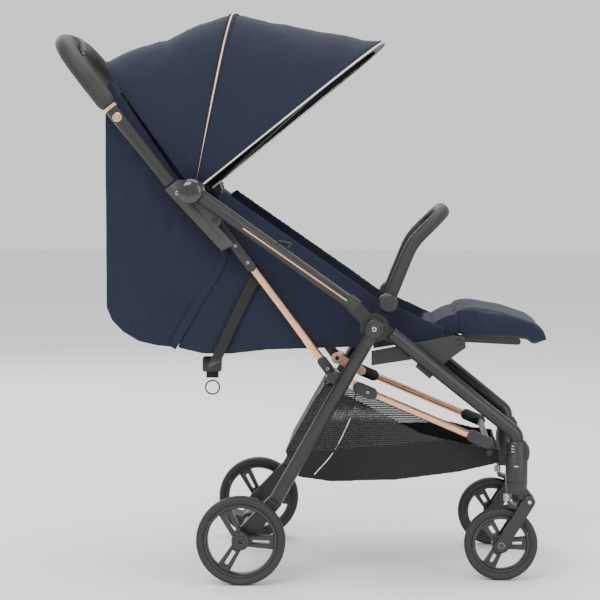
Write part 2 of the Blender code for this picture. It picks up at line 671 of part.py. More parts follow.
def strut(name, side):
    """Bent three-point link: handle bracket, rear leg and knee."""
    y = side * LINK_HALF
    half = LINK_R
    slope = slope_of(STRUT_TOP, STRUT_PIVOT)
    reach = math.dist(STRUT_TOP, STRUT_PIVOT)
    start = along(STRUT_TOP, slope, 0.004)
    end = along(STRUT_TOP, slope, reach - 0.004)
    bar = tube(name, [xz(start, y), xz(end, y)], LINK_R, "rose_gold")
    head = rod_y(name + "_head", STRUT_TOP, 0.010, y - half, y + half, "rose_gold")
    inner = LINK_HALF - half - RUN - KNEE_ARM
    boss = rod_y(name + "_boss", STRUT_PIVOT, 0.012, *spans(side, inner, LINK_HALF + half), "rose_gold")
    arm = plate(name + "_knee", bar_outline(STRUT_PIVOT, KNEE, 0.018), *spans(side, inner, inner + KNEE_ARM),
                "rose_gold")
    hole = rod_y(name + "_hole", STRUT_PIVOT, PIN_R + RUN / 2, -0.3, 0.3, "rose_gold")
    combine(bar, "UNION", head, boss, arm)
    return combine(bar, "DIFFERENCE", hole)


def strut_pin_on(leg, side):
    """Bracket behind the rear leg with the stub pin that carries the strut."""
    slope = slope_of(MID_PIVOT, REAR_FOOT)
    to_pivot = Vector(STRUT_PIVOT) - Vector(MID_PIVOT)
    down = to_pivot.dot(Vector((math.cos(slope), math.sin(slope))))
    on_leg = along(MID_PIVOT, slope, down)
    share = down / math.dist(MID_PIVOT, REAR_FOOT)
    centre = REAR_LEG_HALF + (REAR_FOOT_HALF - REAR_LEG_HALF) * share
    inner = LINK_HALF - LINK_R - RUN - KNEE_ARM - 0.001
    bracket = plate(leg.name + "_bracket", bar_outline(on_leg, STRUT_PIVOT, 0.018),
                    *spans(side, LINK_HALF + LINK_R + RUN, centre - 0.002), "charcoal")
    pin = rod_y(leg.name + "_strut_pin", STRUT_PIVOT, PIN_R, *spans(side, inner, centre - 0.006), "charcoal")
    return combine(leg, "UNION", bracket, pin)


def lower_rod(name, side):
    """Rod from the knee to the front cross tube, with an eye at each end."""
    y = side * LINK_HALF
    slope = slope_of(KNEE, ROD_FRONT)
    reach = math.dist(KNEE, ROD_FRONT)
    start = along(KNEE, slope, 0.004)
    end = along(KNEE, slope, reach - 0.008)
    rod = tube(name, [xz(start, y), xz(end, y)], ROD_R, "rose_gold")
    eye = rod_y(name + "_eye", KNEE, 0.009, y - ROD_R, y + ROD_R, "rose_gold")
    front = rod_y(name + "_front", ROD_FRONT, 0.0105, y - ROD_R, y + ROD_R, "rose_gold", 20)
    hole = rod_y(name + "_hole", ROD_FRONT, 0.006 + RUN / 2, -0.3, 0.3, "rose_gold")
    combine(rod, "UNION", eye, front)
    return combine(rod, "DIFFERENCE", hole)


# ---- bumper bar, seat rails and leg rest frame ----
def bumper_mount(name, side):
    """Round socket on the front leg's top, which carries the bumper bar."""
    low = HALF_WIDTH - 0.010
    profile = [(0, low - 0.014), (0.018, low - 0.014), (0.018, low + 0.006), (0.014, low + 0.010),
               (0, low + 0.010)]
    profile = [(r, side * a) for r, a in profile]
    return turned(name, profile, xz(BUMPER_PIVOT, 0), "black_plastic")


BUMPER_BEND = (0.206, 0.620)
BUMPER_TOP = (0.265, 0.678)
BUMPER_HALF = HALF_WIDTH - 0.038


def bumper_bar():
    """Padded bar across the seat, with a round boss at each mount."""
    places = [BUMPER_PIVOT, BUMPER_BEND, BUMPER_TOP]
    corners = [xz(p, -BUMPER_HALF) for p in places] + [xz(p, BUMPER_HALF) for p in reversed(places)]
    lower = filleted(corners[:3], 0.10, 3)
    upper = filleted(corners[1:5], 0.050, 5)
    path = lower[:-1] + upper[1:-1] + [Vector((p.x, -p.y, p.z)) for p in reversed(lower[:-1])]
    bar = tube("bumper_bar", path, BUMPER_R, "grip")
    bosses = []
    for side in SIDES.values():
        bosses.append(rod_y("bumper_boss", BUMPER_PIVOT, 0.0165,
                            *spans(side, BUMPER_HALF - BUMPER_R, HALF_WIDTH - 0.024 - RUN), "grip", 20))
    return combine(bar, "UNION", *bosses)


def seat_rail(name, side):
    """Seat rail with its curved gusset, inside the front leg."""
    outline = [(0.133, 0.396), (0.222, 0.410), (0.214, 0.394), (0.240, 0.372), (0.262, 0.398),
               (0.281, 0.412), (0.306, 0.430), (0.304, 0.449), (0.286, 0.452), (0.133, 0.4225)]
    half = RAIL_THICK / 2
    rail = plate(name, outline, *spans(side, PLATE_HALF - half, PLATE_HALF + half), "black_plastic")
    hole = rod_y(name + "_hole", LEGREST_HINGE, 0.005 + RUN / 2, *spans(side, 0.1, 0.3), "black_plastic")
    return combine(rail, "DIFFERENCE", hole)


def legrest_frame():
    """Hinge tube between the rails, with two arms under the leg rest."""
    reach = PLATE_HALF + RAIL_THICK / 2 + 0.001
    shaft = rod_y("legrest_frame", LEGREST_HINGE, 0.005, -reach, reach, "black_plastic")
    tip = (0.405, 0.4345)
    pieces = []
    for side in SIDES.values():
        outline = bar_outline(LEGREST_HINGE, tip, 0.012)
        pieces.append(plate("legrest_arm", outline, *spans(side, 0.085, 0.100), "black_plastic"))
    pieces.append(rod_y("legrest_bar", tip, 0.005, -0.10, 0.10, "black_plastic"))
    return combine(shaft, "UNION", *pieces)


# ---- canopy ----
def arch(angle, half, reach, rows):
    """Points of a canopy arch, from the right foot over the crown to the left foot."""
    points = []
    for j in range(rows + 1):
        turn = math.pi * j / rows
        y = -half * math.copysign(abs(math.cos(turn)) ** ARCH_ACROSS, math.cos(turn))
        out = CANOPY_ROOT + (reach - CANOPY_ROOT) * abs(math.sin(turn)) ** ARCH_RISE
        points.append(xz(along(HANDLE_PIVOT, math.radians(angle), out), y))
    return points


def bow(name, angle, length, half):
    """Canopy bow: an arch of rod in a plane through the handle pivot."""
    return tube(name, arch(angle, half, length, 18), BOW_R, "black_plastic", sides=8)


def canopy_panel(name, keys, finish, columns=5, rows=18):
    """Curved cloth panel between two bows; the keys are (angle, radius) from rear to front."""
    bm = bmesh.new()
    grid = []
    for i in range(columns + 1):
        share = i / columns * (len(keys) - 1)
        k = min(int(share), len(keys) - 2)
        angle, radius = between(keys[k], keys[k + 1], share - k)
        grid.append([bm.verts.new(p) for p in arch(angle, CANOPY_HALF, radius, rows)])
    for a, b in zip(grid, grid[1:]):
        for j in range(rows):
            bm.faces.new((a[j], a[j + 1], b[j + 1], b[j]))
    bmesh.ops.recalc_face_normals(bm, faces=bm.faces)
    panel = finish_mesh(bm, name, finish)
    wall = panel.modifiers.new("cloth", "SOLIDIFY")
    wall.thickness = CLOTH
    wall.offset = 0
    return panel


# ---- soft parts ----
def tub(name, outline, half, openings, finish):
    """A soft trough: the outline across the full width, hollow, open where the openings reach."""
    body = plate(name, outline, -half, half, finish)
    hollow = plate(name + "_hollow", openings, -half + SOFT_WALL, half - SOFT_WALL, finish)
    return combine(body, "DIFFERENCE", hollow)


def seat_shell():
    inner = inset_outline(SEAT_OUTLINE, SEAT_FLOOR)
    floor = inner[:6]
    low_rear = (SEAT_OUTLINE[0][0] - 0.02, floor[0][1] + 0.004)
    high_front = (SEAT_OUTLINE[6][0] + 0.02, SEAT_OUTLINE[6][1] + 0.012)
    hollow = [low_rear, *floor[1:5], (0.225, floor[5][1] + 0.004), (0.232, 0.470), high_front,
              (high_front[0], 0.8), (low_rear[0], 0.8)]
    return tub("seat_pad", SEAT_OUTLINE, CLOTH_HALF, hollow, "navy")


def rear_bag():
    inner = inset_outline(BAG_OUTLINE, SOFT_WALL)
    walls = inner[5:]
    hollow = [*walls, (inner[0][0] + 0.1, inner[0][1] + 0.004), (inner[0][0] + 0.1, 1.1), (inner[5][0], 1.1)]
    return tub("rear_bag", BAG_OUTLINE, CLOTH_HALF, hollow, "navy")


def basket():
    inner = inset_outline(BASKET_OUTLINE, SOFT_WALL)
    hollow = [(inner[0][0], 0.5), (inner[0][0], inner[0][1] - 0.012), *inner[1:8],
              (inner[7][0], 0.5)]
    return tub("basket", BASKET_OUTLINE, CLOTH_HALF, hollow, "black_fabric")


def backrest():
    """Reclining back board, nearly flat at rest."""
    slope = math.pi - BACKREST_RISE
    start = along(RECLINE_HINGE, slope, 0.004)
    end = along(RECLINE_HINGE, slope, BACKREST_LENGTH)
    half = CLOTH_HALF - SOFT_WALL - 0.004
    return plate("backrest", bar_outline(start, end, BACKREST_THICK, 4), -half, half, "navy")


def legrest_pad():
    """Padded leg rest over its frame."""
    tip = LEGREST_HINGE[0] + LEGREST_REACH
    low = 0.4435
    outline = [(0.276, 0.4640), (0.287, 0.4960), (0.320, 0.4975), (tip - 0.070, 0.4870),
               (tip - 0.020, 0.4700), (tip + 0.004, 0.4550), (tip + 0.010, 0.4400),
               (tip - 0.014, 0.4330), (tip - 0.030, low),
               (0.302, low + 0.006)]
    return plate("legrest_pad", outline, -LEGREST_HALF, LEGREST_HALF, "navy")


def harness():
    """Five-point harness lying on the seat: two shoulder straps, lap strap, crotch strap and buckle."""
    slope = math.pi - BACKREST_RISE
    normal = slope - math.pi / 2
    lift = BACKREST_THICK / 2 + 0.003
    near = along(along(RECLINE_HINGE, slope, 0.012), normal, lift)
    far = along(along(RECLINE_HINGE, slope, BACKREST_LENGTH - 0.060), normal, lift)
    strap = bar_outline(near, far, 0.003, 3)
    first = plate("harness", strap, -0.062, -0.040, "black_fabric")
    second = plate("harness_left", strap, 0.040, 0.062, "black_fabric")
    lap = plate("harness_lap", bar_outline(along(near, slope, -0.020), along(near, slope, 0.003), 0.004, 3),
                -0.110, 0.110, "black_fabric")
    front = (near[0] + 0.130, near[1] - 0.002)
    crotch = plate("harness_crotch", bar_outline(near, front, 0.003, 3), -0.013, 0.013, "black_fabric")
    raised = along(near, normal, 0.004)
    buckle = plate("harness_buckle", bar_outline(along(raised, slope, -0.026), raised, 0.012),
                   -0.023, 0.023, "black_fabric")
    return combine(first, "UNION", second, lap, crotch, buckle)


STRAP_TOP = (-0.0765, 0.566)
STRAP_TURN = (-0.157, 0.400)
STRAP_LOW = (-0.176, 0.388)


def recline_strap():
    """Webbing from both side tubes, under the back, to the buckle in the middle."""
    path = [xz(STRAP_TOP, -STRAP_HALF), xz(STRAP_TURN, -STRAP_HALF), xz(STRAP_LOW, -0.02),
            xz(STRAP_LOW, 0.02), xz(STRAP_TURN, STRAP_HALF), xz(STRAP_TOP, STRAP_HALF)]
    strap = tube("recline_strap", path, 0.0012, "black_fabric", sides=8)
    low, high = (-0.194, -0.016, 0.366), (-0.158, 0.016, 0.394)
    buckle = block("strap_buckle", low, high, "black_fabric")
    tail = block("strap_tail", (-0.186, -0.0012, 0.352), (-0.166, 0.0012, 0.368), "black_fabric")
    return combine(strap, "UNION", buckle, tail)


def d_ring():
    """Metal ring hanging from the strap's tail."""
    centre = (-0.176, 0.3345)
    return turned("d_ring", [(0.0118, -0.0016), (0.0150, -0.0016), (0.0150, 0.0016), (0.0118, 0.0016)],
                  xz(centre, 0), "steel", steps=16)


def build():
    clear_scene()
    for word, side in SIDES.items():
        caster_housing(f"caster_housing_{word}", side)
        front_leg(f"front_leg_{word}", side)
        mid_pivot(f"mid_pivot_{word}", side)
        bumper_mount(f"bumper_mount_{word}", side)
        seat_rail(f"seat_rail_{word}", side)

        swivel = caster_swivel(f"caster_swivel_{word}", side)
        pivot_at(f"swivel_axis_{word}", (CASTER_X, side * CASTER_HALF, HOUSING_LOW), swivel)
        arms = fork(f"fork_{word}", side)
        spindle = front_axle(f"front_axle_{word}", side)
        pivot_at(f"fork_axis_{word}", xz(FORK_PIVOT, side * CASTER_HALF), arms, spindle)
        spring = coil_spring(f"spring_{word}", side)
        pivot_at(f"spring_seat_{word}", (SPRING_X, side * CASTER_HALF, SWIVEL_LOW), spring)
        front = xz(FRONT_AXLE, side * CASTER_HALF)
        pivot_at(f"front_wheel_axis_{word}", front,
                 tyre(f"front_tyre_{word}", front, FRONT_WHEEL_R, FRONT_WHEEL_W),
                 rim(f"front_rim_{word}", front, FRONT_WHEEL_R, FRONT_WHEEL_W, 0.003))

        leg = strut_pin_on(rear_leg(f"rear_leg_{word}", side), side)
        foot = rear_foot(f"rear_foot_{word}", side)
        pivot_at(f"rear_leg_axis_{word}", xz(MID_PIVOT, side * REAR_LEG_HALF), leg, foot)
        rear = xz(REAR_AXLE, side * REAR_WHEEL_HALF)
        pivot_at(f"rear_wheel_axis_{word}", rear,
                 tyre(f"rear_tyre_{word}", rear, REAR_WHEEL_R, REAR_WHEEL_W),
                 rim(f"rear_rim_{word}", rear, REAR_WHEEL_R, REAR_WHEEL_W, PIN_R))

        upper = side_tube(f"side_tube_{word}", side)
        cap = hub_cap(f"hub_cap_{word}", side)
        pivot_at(f"side_tube_axis_{word}", xz(MID_PIVOT, side * HALF_WIDTH), upper, cap)
        bracket = handle_bracket(f"handle_bracket_{word}", side)
        pivot_at(f"handle_axis_{word}", xz(HANDLE_PIVOT, side * HANDLE_HALF), bracket)
        pivot_at(f"strut_axis_{word}", xz(STRUT_PIVOT, side * LINK_HALF), strut(f"strut_{word}", side))
        pivot_at(f"rod_axis_{word}", xz(ROD_FRONT, side * LINK_HALF), lower_rod(f"lower_rod_{word}", side))

    front_cross_tube()
    pivot_at("rear_legs_axis", xz(MID_PIVOT, 0), rear_axle())
    pivot_at("pedal_axis", xz(REAR_AXLE, 0), brake_pedal())
    bar = tube("handlebar", handle_path(BARE_START), HANDLE_R, "charcoal")
    pivot_at("handle_axis", xz(HANDLE_PIVOT, 0), bar, handle_grip())
    pivot_at("button_axis", xz(CROSSBAR, 0), fold_button())
    pivot_at("bumper_axis", xz(BUMPER_PIVOT, 0), bumper_bar())
    pivot_at("legrest_axis", xz(LEGREST_HINGE, 0), legrest_frame(), legrest_pad())

    mid = bow("canopy_mid_bow", CANOPY_MID[0], MID_BOW_LENGTH, BOW_HALF)
    front = bow("canopy_front_bow", FRONT_BOW_ANGLE, FRONT_BOW_LENGTH, BOW_HALF - 2 * BOW_R - 0.001)
    seam = (CANOPY_MID[0] + SEAM_GAP, CANOPY_MID[1])
    rear_panel = canopy_panel("canopy_rear_panel", [CANOPY_REAR, CANOPY_REAR_TOP, seam],
                              "navy", columns=4)
    front_panel = canopy_panel("canopy_front_panel", [CANOPY_MID, CANOPY_FRONT_TOP, CANOPY_FRONT], "navy")
    pivot_at("canopy_axis", xz(HANDLE_PIVOT, 0), mid, rear_panel, front_panel)
    pivot_at("canopy_front_axis", xz(HANDLE_PIVOT, 0), front)

    seat_shell()
    pivot_at("recline_axis", xz(RECLINE_HINGE, 0), backrest(), harness())
    rear_bag()
    basket()
    recline_strap()
    d_ring()


build()
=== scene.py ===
"""Studio view of the folding stroller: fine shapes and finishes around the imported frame."""

import json
import math

import bmesh
import bpy
from mathutils import Matrix, Vector, noise


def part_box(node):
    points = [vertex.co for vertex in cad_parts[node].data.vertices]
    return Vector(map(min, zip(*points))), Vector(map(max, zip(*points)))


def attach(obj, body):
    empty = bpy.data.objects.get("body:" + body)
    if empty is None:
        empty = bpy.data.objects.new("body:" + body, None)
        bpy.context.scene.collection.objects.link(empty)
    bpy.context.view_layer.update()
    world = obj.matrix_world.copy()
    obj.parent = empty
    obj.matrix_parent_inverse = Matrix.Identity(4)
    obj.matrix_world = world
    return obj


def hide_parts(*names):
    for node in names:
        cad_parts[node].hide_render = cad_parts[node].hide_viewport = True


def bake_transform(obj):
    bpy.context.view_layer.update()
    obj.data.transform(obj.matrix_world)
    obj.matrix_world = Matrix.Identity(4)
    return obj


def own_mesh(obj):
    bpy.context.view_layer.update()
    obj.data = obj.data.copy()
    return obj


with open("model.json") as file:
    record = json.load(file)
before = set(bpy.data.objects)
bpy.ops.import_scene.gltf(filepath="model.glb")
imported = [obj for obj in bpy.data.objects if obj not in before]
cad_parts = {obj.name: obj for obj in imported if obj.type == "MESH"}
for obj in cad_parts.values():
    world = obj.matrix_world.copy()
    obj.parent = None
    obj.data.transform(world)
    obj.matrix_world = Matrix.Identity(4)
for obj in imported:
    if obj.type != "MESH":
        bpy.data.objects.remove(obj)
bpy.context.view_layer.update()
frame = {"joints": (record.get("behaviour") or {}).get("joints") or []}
JOINT = {j["name"]: j for j in frame["joints"]}
SIDES = {"right": -1, "left": 1}


def low(node):
    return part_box(node)[0]


def high(node):
    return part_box(node)[1]


def joint_xz(name):
    place = JOINT[name]["pos_m"]
    return (place[0], place[2])


def along(start, slope, length):
    return (start[0] + length * math.cos(slope), start[1] + length * math.sin(slope))


def slope_of(start, end):
    return math.atan2(end[1] - start[1], end[0] - start[0])


def xz(point, y):
    return Vector((point[0], y, point[1]))


# ---- places read from the frame ----
MID = joint_xz("frame_fold")
HANDLE = joint_xz("handle_fold")
STRUT_PIVOT = joint_xz("strut_pivot")
ROD_FRONT = joint_xz("lower_rod_pivot")
REAR_AXLE = joint_xz("rear_wheel_spin_right")
FRONT_AXLE = joint_xz("front_wheel_spin_right")
FORK_PIVOT = joint_xz("suspension_right")
CASTER_X = JOINT["caster_swivel_right"]["pos_m"][0]
CASTER_HALF = JOINT["caster_swivel_left"]["pos_m"][1]
REAR_WHEEL_HALF = JOINT["rear_wheel_spin_left"]["pos_m"][1]
STRUT_TOP = (low("strut_left").x + 0.010, high("strut_left").z - 0.010)
KNEE = (low("lower_rod_left").x + 0.009, high("lower_rod_left").z - 0.009)
CROSSBAR = (low("handle_grip").x + 0.0175, high("handle_grip").z - 0.0175)
PRESS = JOINT["fold_press"]["axis"]
HANDLE_SLOPE = math.atan2(PRESS[2], PRESS[0])
SIDE_HALF = (low("side_tube_left").y + high("side_tube_left").y) / 2
HANDLE_HALF = (low("handle_bracket_left").y + high("handle_bracket_left").y) / 2
LINK_HALF = (low("lower_rod_left").y + high("lower_rod_left").y) / 2
CANOPY_HALF = high("canopy_front_panel").y - 0.0015
CLOTH_HALF = high("rear_bag").y


# ---- finishes ----
class Value:
    """A socket that adds up with others and with numbers, as Math nodes."""

    def __init__(self, shade, socket):
        self.shade, self.socket = shade, socket

    def math(self, operation, *others):
        return self.shade.node("Math", {"operation": operation}, {0: self, **dict(enumerate(others, 1))})

    def __add__(self, other):
        return self.math("ADD", other)

    __radd__ = __add__

    def __sub__(self, other):
        return self.math("SUBTRACT", other)

    def __rsub__(self, other):
        return self.shade.node("Math", {"operation": "SUBTRACT"}, {0: other, 1: self})

    def __mul__(self, other):
        return self.math("MULTIPLY", other)

    __rmul__ = __mul__

    def above(self, other):
        return self.math("GREATER_THAN", other)

    def sine(self):
        return self.math("SINE")

    def size(self):
        return self.math("ABSOLUTE")


class Finish:
    """A procedural material on Object coordinates."""

    def __init__(self, name, slot, **fixed):
        self.slot = slot
        self.material = bpy.data.materials.new(name)
        self.material.use_nodes = True
        self.tree = self.material.node_tree
        self.shader = self.tree.nodes["Principled BSDF"]
        for word, value in fixed.items():
            self.shader.inputs[word.replace("_", " ")].default_value = value
        coords = self.tree.nodes.new("ShaderNodeTexCoord")
        self.place = Value(self, coords.outputs["Object"])
        self.uv = Value(self, coords.outputs["UV"])

    def node(self, kind, settings=None, values=None, out=0):
        made = self.tree.nodes.new("ShaderNode" + kind)
        for word, value in (settings or {}).items():
            setattr(made, word, value)
        for key, value in (values or {}).items():
            if isinstance(value, Value):
                self.tree.links.new(value.socket, made.inputs[key])
            else:
                made.inputs[key].default_value = value
        return Value(self, made.outputs[out])

    def noise(self, scale, detail=2.0, source=None, stretch=None):
        where = source or self.place
        if stretch:
            where = self.node("Mapping", {}, {"Vector": where, "Scale": stretch})
        return self.node("TexNoise", {}, {"Vector": where, "Scale": scale, "Detail": detail})

    def cells(self, scale, feature="F1"):
        return self.node("TexVoronoi", {"feature": feature}, {"Vector": self.place, "Scale": scale})

    def axes(self, source=None):
        parts = self.tree.nodes.new("ShaderNodeSeparateXYZ")
        self.tree.links.new((source or self.place).socket, parts.inputs[0])
        return [Value(self, s) for s in parts.outputs]

    def blend(self, share, first, second):
        mix = self.tree.nodes.new("ShaderNodeMix")
        mix.data_type = "RGBA"
        self.tree.links.new(share.socket, mix.inputs["Factor"])
        for key, colour in ((6, first), (7, second)):
            if isinstance(colour, Value):
                self.tree.links.new(colour.socket, mix.inputs[key])
            else:
                mix.inputs[key].default_value = (*colour, 1)
        return Value(self, mix.outputs[2])

    def feed(self, word, value):
        self.tree.links.new(value.socket, self.shader.inputs[word])
        return self

    def bump(self, height, depth, strength=1.0):
        bumped = self.node("Bump", {}, {"Height": height, "Distance": depth, "Strength": strength})
        return self.feed("Normal", bumped)


def ranged(value, least, most):
    """A 0 to 1 value moved to another range."""
    return value * (most - least) + least


def woven(name, slot, dark, light, thread, depth, rough=0.85, sheen=0.25):
    """Plain-weave cloth: crossing threads, flecks and slow shade changes."""
    cloth = Finish(name, slot, Sheen_Weight=sheen, Sheen_Roughness=0.5, Specular_IOR_Level=0.25)
    x, y, z = [part * (math.tau / thread) for part in cloth.axes()]
    threads = x.sine() * z.sine() + x.sine() * y.sine() + y.sine() * z.sine()
    flecks = cloth.noise(1400, 3)
    slow = cloth.noise(9, 2)
    share = ranged(flecks, -0.6, 1.1) + ranged(slow, -0.2, 0.35)
    cloth.feed("Base Color", cloth.blend(share, dark, light))
    cloth.feed("Roughness", ranged(slow, rough - 0.08, rough + 0.08))
    return cloth.bump(threads * 0.35 + flecks * 1.3 + slow * 0.5, depth)


def moulded(name, slot, colour, rough, grain=900, depth=0.0001, **fixed):
    """Moulded plastic or coated metal with a fine grain and slightly rubbed patches."""
    plain = Finish(name, slot, **fixed)
    fine = plain.noise(grain, 3)
    slow = plain.noise(22, 3)
    bright = tuple(c * 1.35 + 0.003 for c in colour)
    plain.feed("Base Color", plain.blend(slow, colour, bright))
    plain.feed("Roughness", ranged(fine, rough - 0.07, rough + 0.07) + ranged(slow, -0.05, 0.05))
    return plain.bump(fine, depth)


def leather(name, slot):
    """Leather-look wrap: pebbled grain, worn brighter on the high spots."""
    hide = Finish(name, slot, Specular_IOR_Level=0.4)
    pebbles = hide.cells(520, "F1")
    fine = hide.noise(1500, 3)
    slow = hide.noise(18, 2)
    hide.feed("Base Color", hide.blend(slow, (0.010, 0.010, 0.010), (0.026, 0.025, 0.024)))
    hide.feed("Roughness", ranged(slow, 0.40, 0.58) + pebbles * 0.1)
    return hide.bump(pebbles * -1.0 + fine * 0.35, 0.0004)


def net(name, slot):
    """Knitted mesh: rows of dark thread with gaps between."""
    mesh = Finish(name, slot, Roughness=0.7)
    x, y, z = mesh.axes()
    rows = (z * (math.tau / 0.0036)).sine()
    posts = ((x + y) * (math.tau / 0.0030)).sine()
    solid = (rows + posts * 0.35).above(-0.25)
    mesh.feed("Alpha", ranged(solid, 0.30, 1.0))
    slow = mesh.noise(14, 2)
    mesh.feed("Base Color", mesh.blend(slow, (0.008, 0.008, 0.009), (0.030, 0.030, 0.032)))
    return mesh.bump(rows * 0.5 + posts * 0.3, 0.0004)


NAVY = woven("navy_cloth", "navy_fabric", (0.0060, 0.0088, 0.020), (0.019, 0.025, 0.050), 0.0011, 0.00022,
             sheen=0.08)
NAVY_TRIM = woven("navy_trim", "navy_fabric", (0.0050, 0.0072, 0.017), (0.015, 0.020, 0.041), 0.0008, 0.0002,
                  sheen=0.06)
LINING = woven("black_lining", "black_fabric", (0.004, 0.004, 0.005), (0.013, 0.013, 0.015), 0.0010, 0.0002)
WEBBING = woven("webbing", "black_fabric", (0.006, 0.006, 0.007), (0.022, 0.022, 0.024), 0.0016, 0.0004, 0.7)
BASE_CLOTH = woven("basket_cloth", "basket_mesh", (0.006, 0.006, 0.006), (0.018, 0.018, 0.018),
                   0.0014, 0.0003)
NET = net("basket_net", "basket_mesh")
PIPING = woven("pale_piping", "navy_fabric", (0.62, 0.56, 0.52), (0.86, 0.82, 0.78), 0.0010, 0.0002, 0.6)
CHARCOAL = moulded("charcoal_tube", "charcoal_tube", (0.021, 0.021, 0.022), 0.36, 1600, 0.00004,
                   Metallic=0.55, Coat_Weight=0.15, Coat_Roughness=0.25)
BRACKET = moulded("charcoal_moulding", "charcoal_tube", (0.026, 0.026, 0.027), 0.46, 1100, 0.00010)
ROSE = moulded("rose_gold", "rose_gold", (0.74, 0.43, 0.29), 0.26, 1800, 0.00001, Metallic=1.0)
ROSE_CORD = moulded("rose_piping", "rose_gold", (0.66, 0.40, 0.29), 0.38, 1200, 0.0001, Metallic=0.7)
BLACK = moulded("black_plastic", "black_plastic", (0.010, 0.010, 0.011), 0.42, 1000, 0.0001)
RIM = moulded("wheel_plastic", "black_plastic", (0.013, 0.013, 0.014), 0.34, 1200, 0.00006)
GLOSS = moulded("gloss_black", "gloss_black", (0.005, 0.005, 0.006), 0.12, 700, 0.00002,
                Coat_Weight=0.6, Coat_Roughness=0.05)
RUBBER = moulded("tyre_rubber", "tyre_rubber", (0.012, 0.012, 0.012), 0.68, 800, 0.00018)
STEEL = moulded("bright_steel", "steel", (0.50, 0.50, 0.51), 0.24, 1400, 0.00003, Metallic=1.0)
WHITE_MARK = moulded("pale_mark", "black_plastic", (0.55, 0.55, 0.56), 0.5)
GRIP = leather("leather_wrap", "leather_grip")


# ---- shapes ----
def filleted(points, radius, steps=8):
    points = [Vector(p) for p in points]
    path = [points[0]]
    for before, corner, after in zip(points, points[1:], points[2:]):
        into, out = (before - corner).normalized(), (after - corner).normalized()
        half = into.angle(out) / 2
        cut = radius / math.tan(half)
        centre = corner + (into + out).normalized() * radius / math.sin(half)
        first, last = corner + into * cut - centre, corner + out * cut - centre
        sweep = first.angle(last)
        for i in range(steps + 1):
            share = i / steps
            path.append(centre + (first * math.sin((1 - share) * sweep) + last * math.sin(share * sweep))
                        / math.sin(sweep))
    path.append(points[-1])
    return path


def spline(points, count):
    """A smooth curve through the points, evenly parted."""
    points = [Vector(p) for p in points]
    ends = [points[0] * 2 - points[1], *points, points[-1] * 2 - points[-2]]
    curve = []
    for i in range(count + 1):
        place = i / count * (len(points) - 1)
        k = min(int(place), len(points) - 2)
        t = place - k
        a, b, c, d = ends[k:k + 4]
        curve.append((b * 2 + (c - a) * t + (a * 2 - b * 5 + c * 4 - d) * t * t
                      + (b * 3 - a - c * 3 + d) * t * t * t) / 2)
    return curve


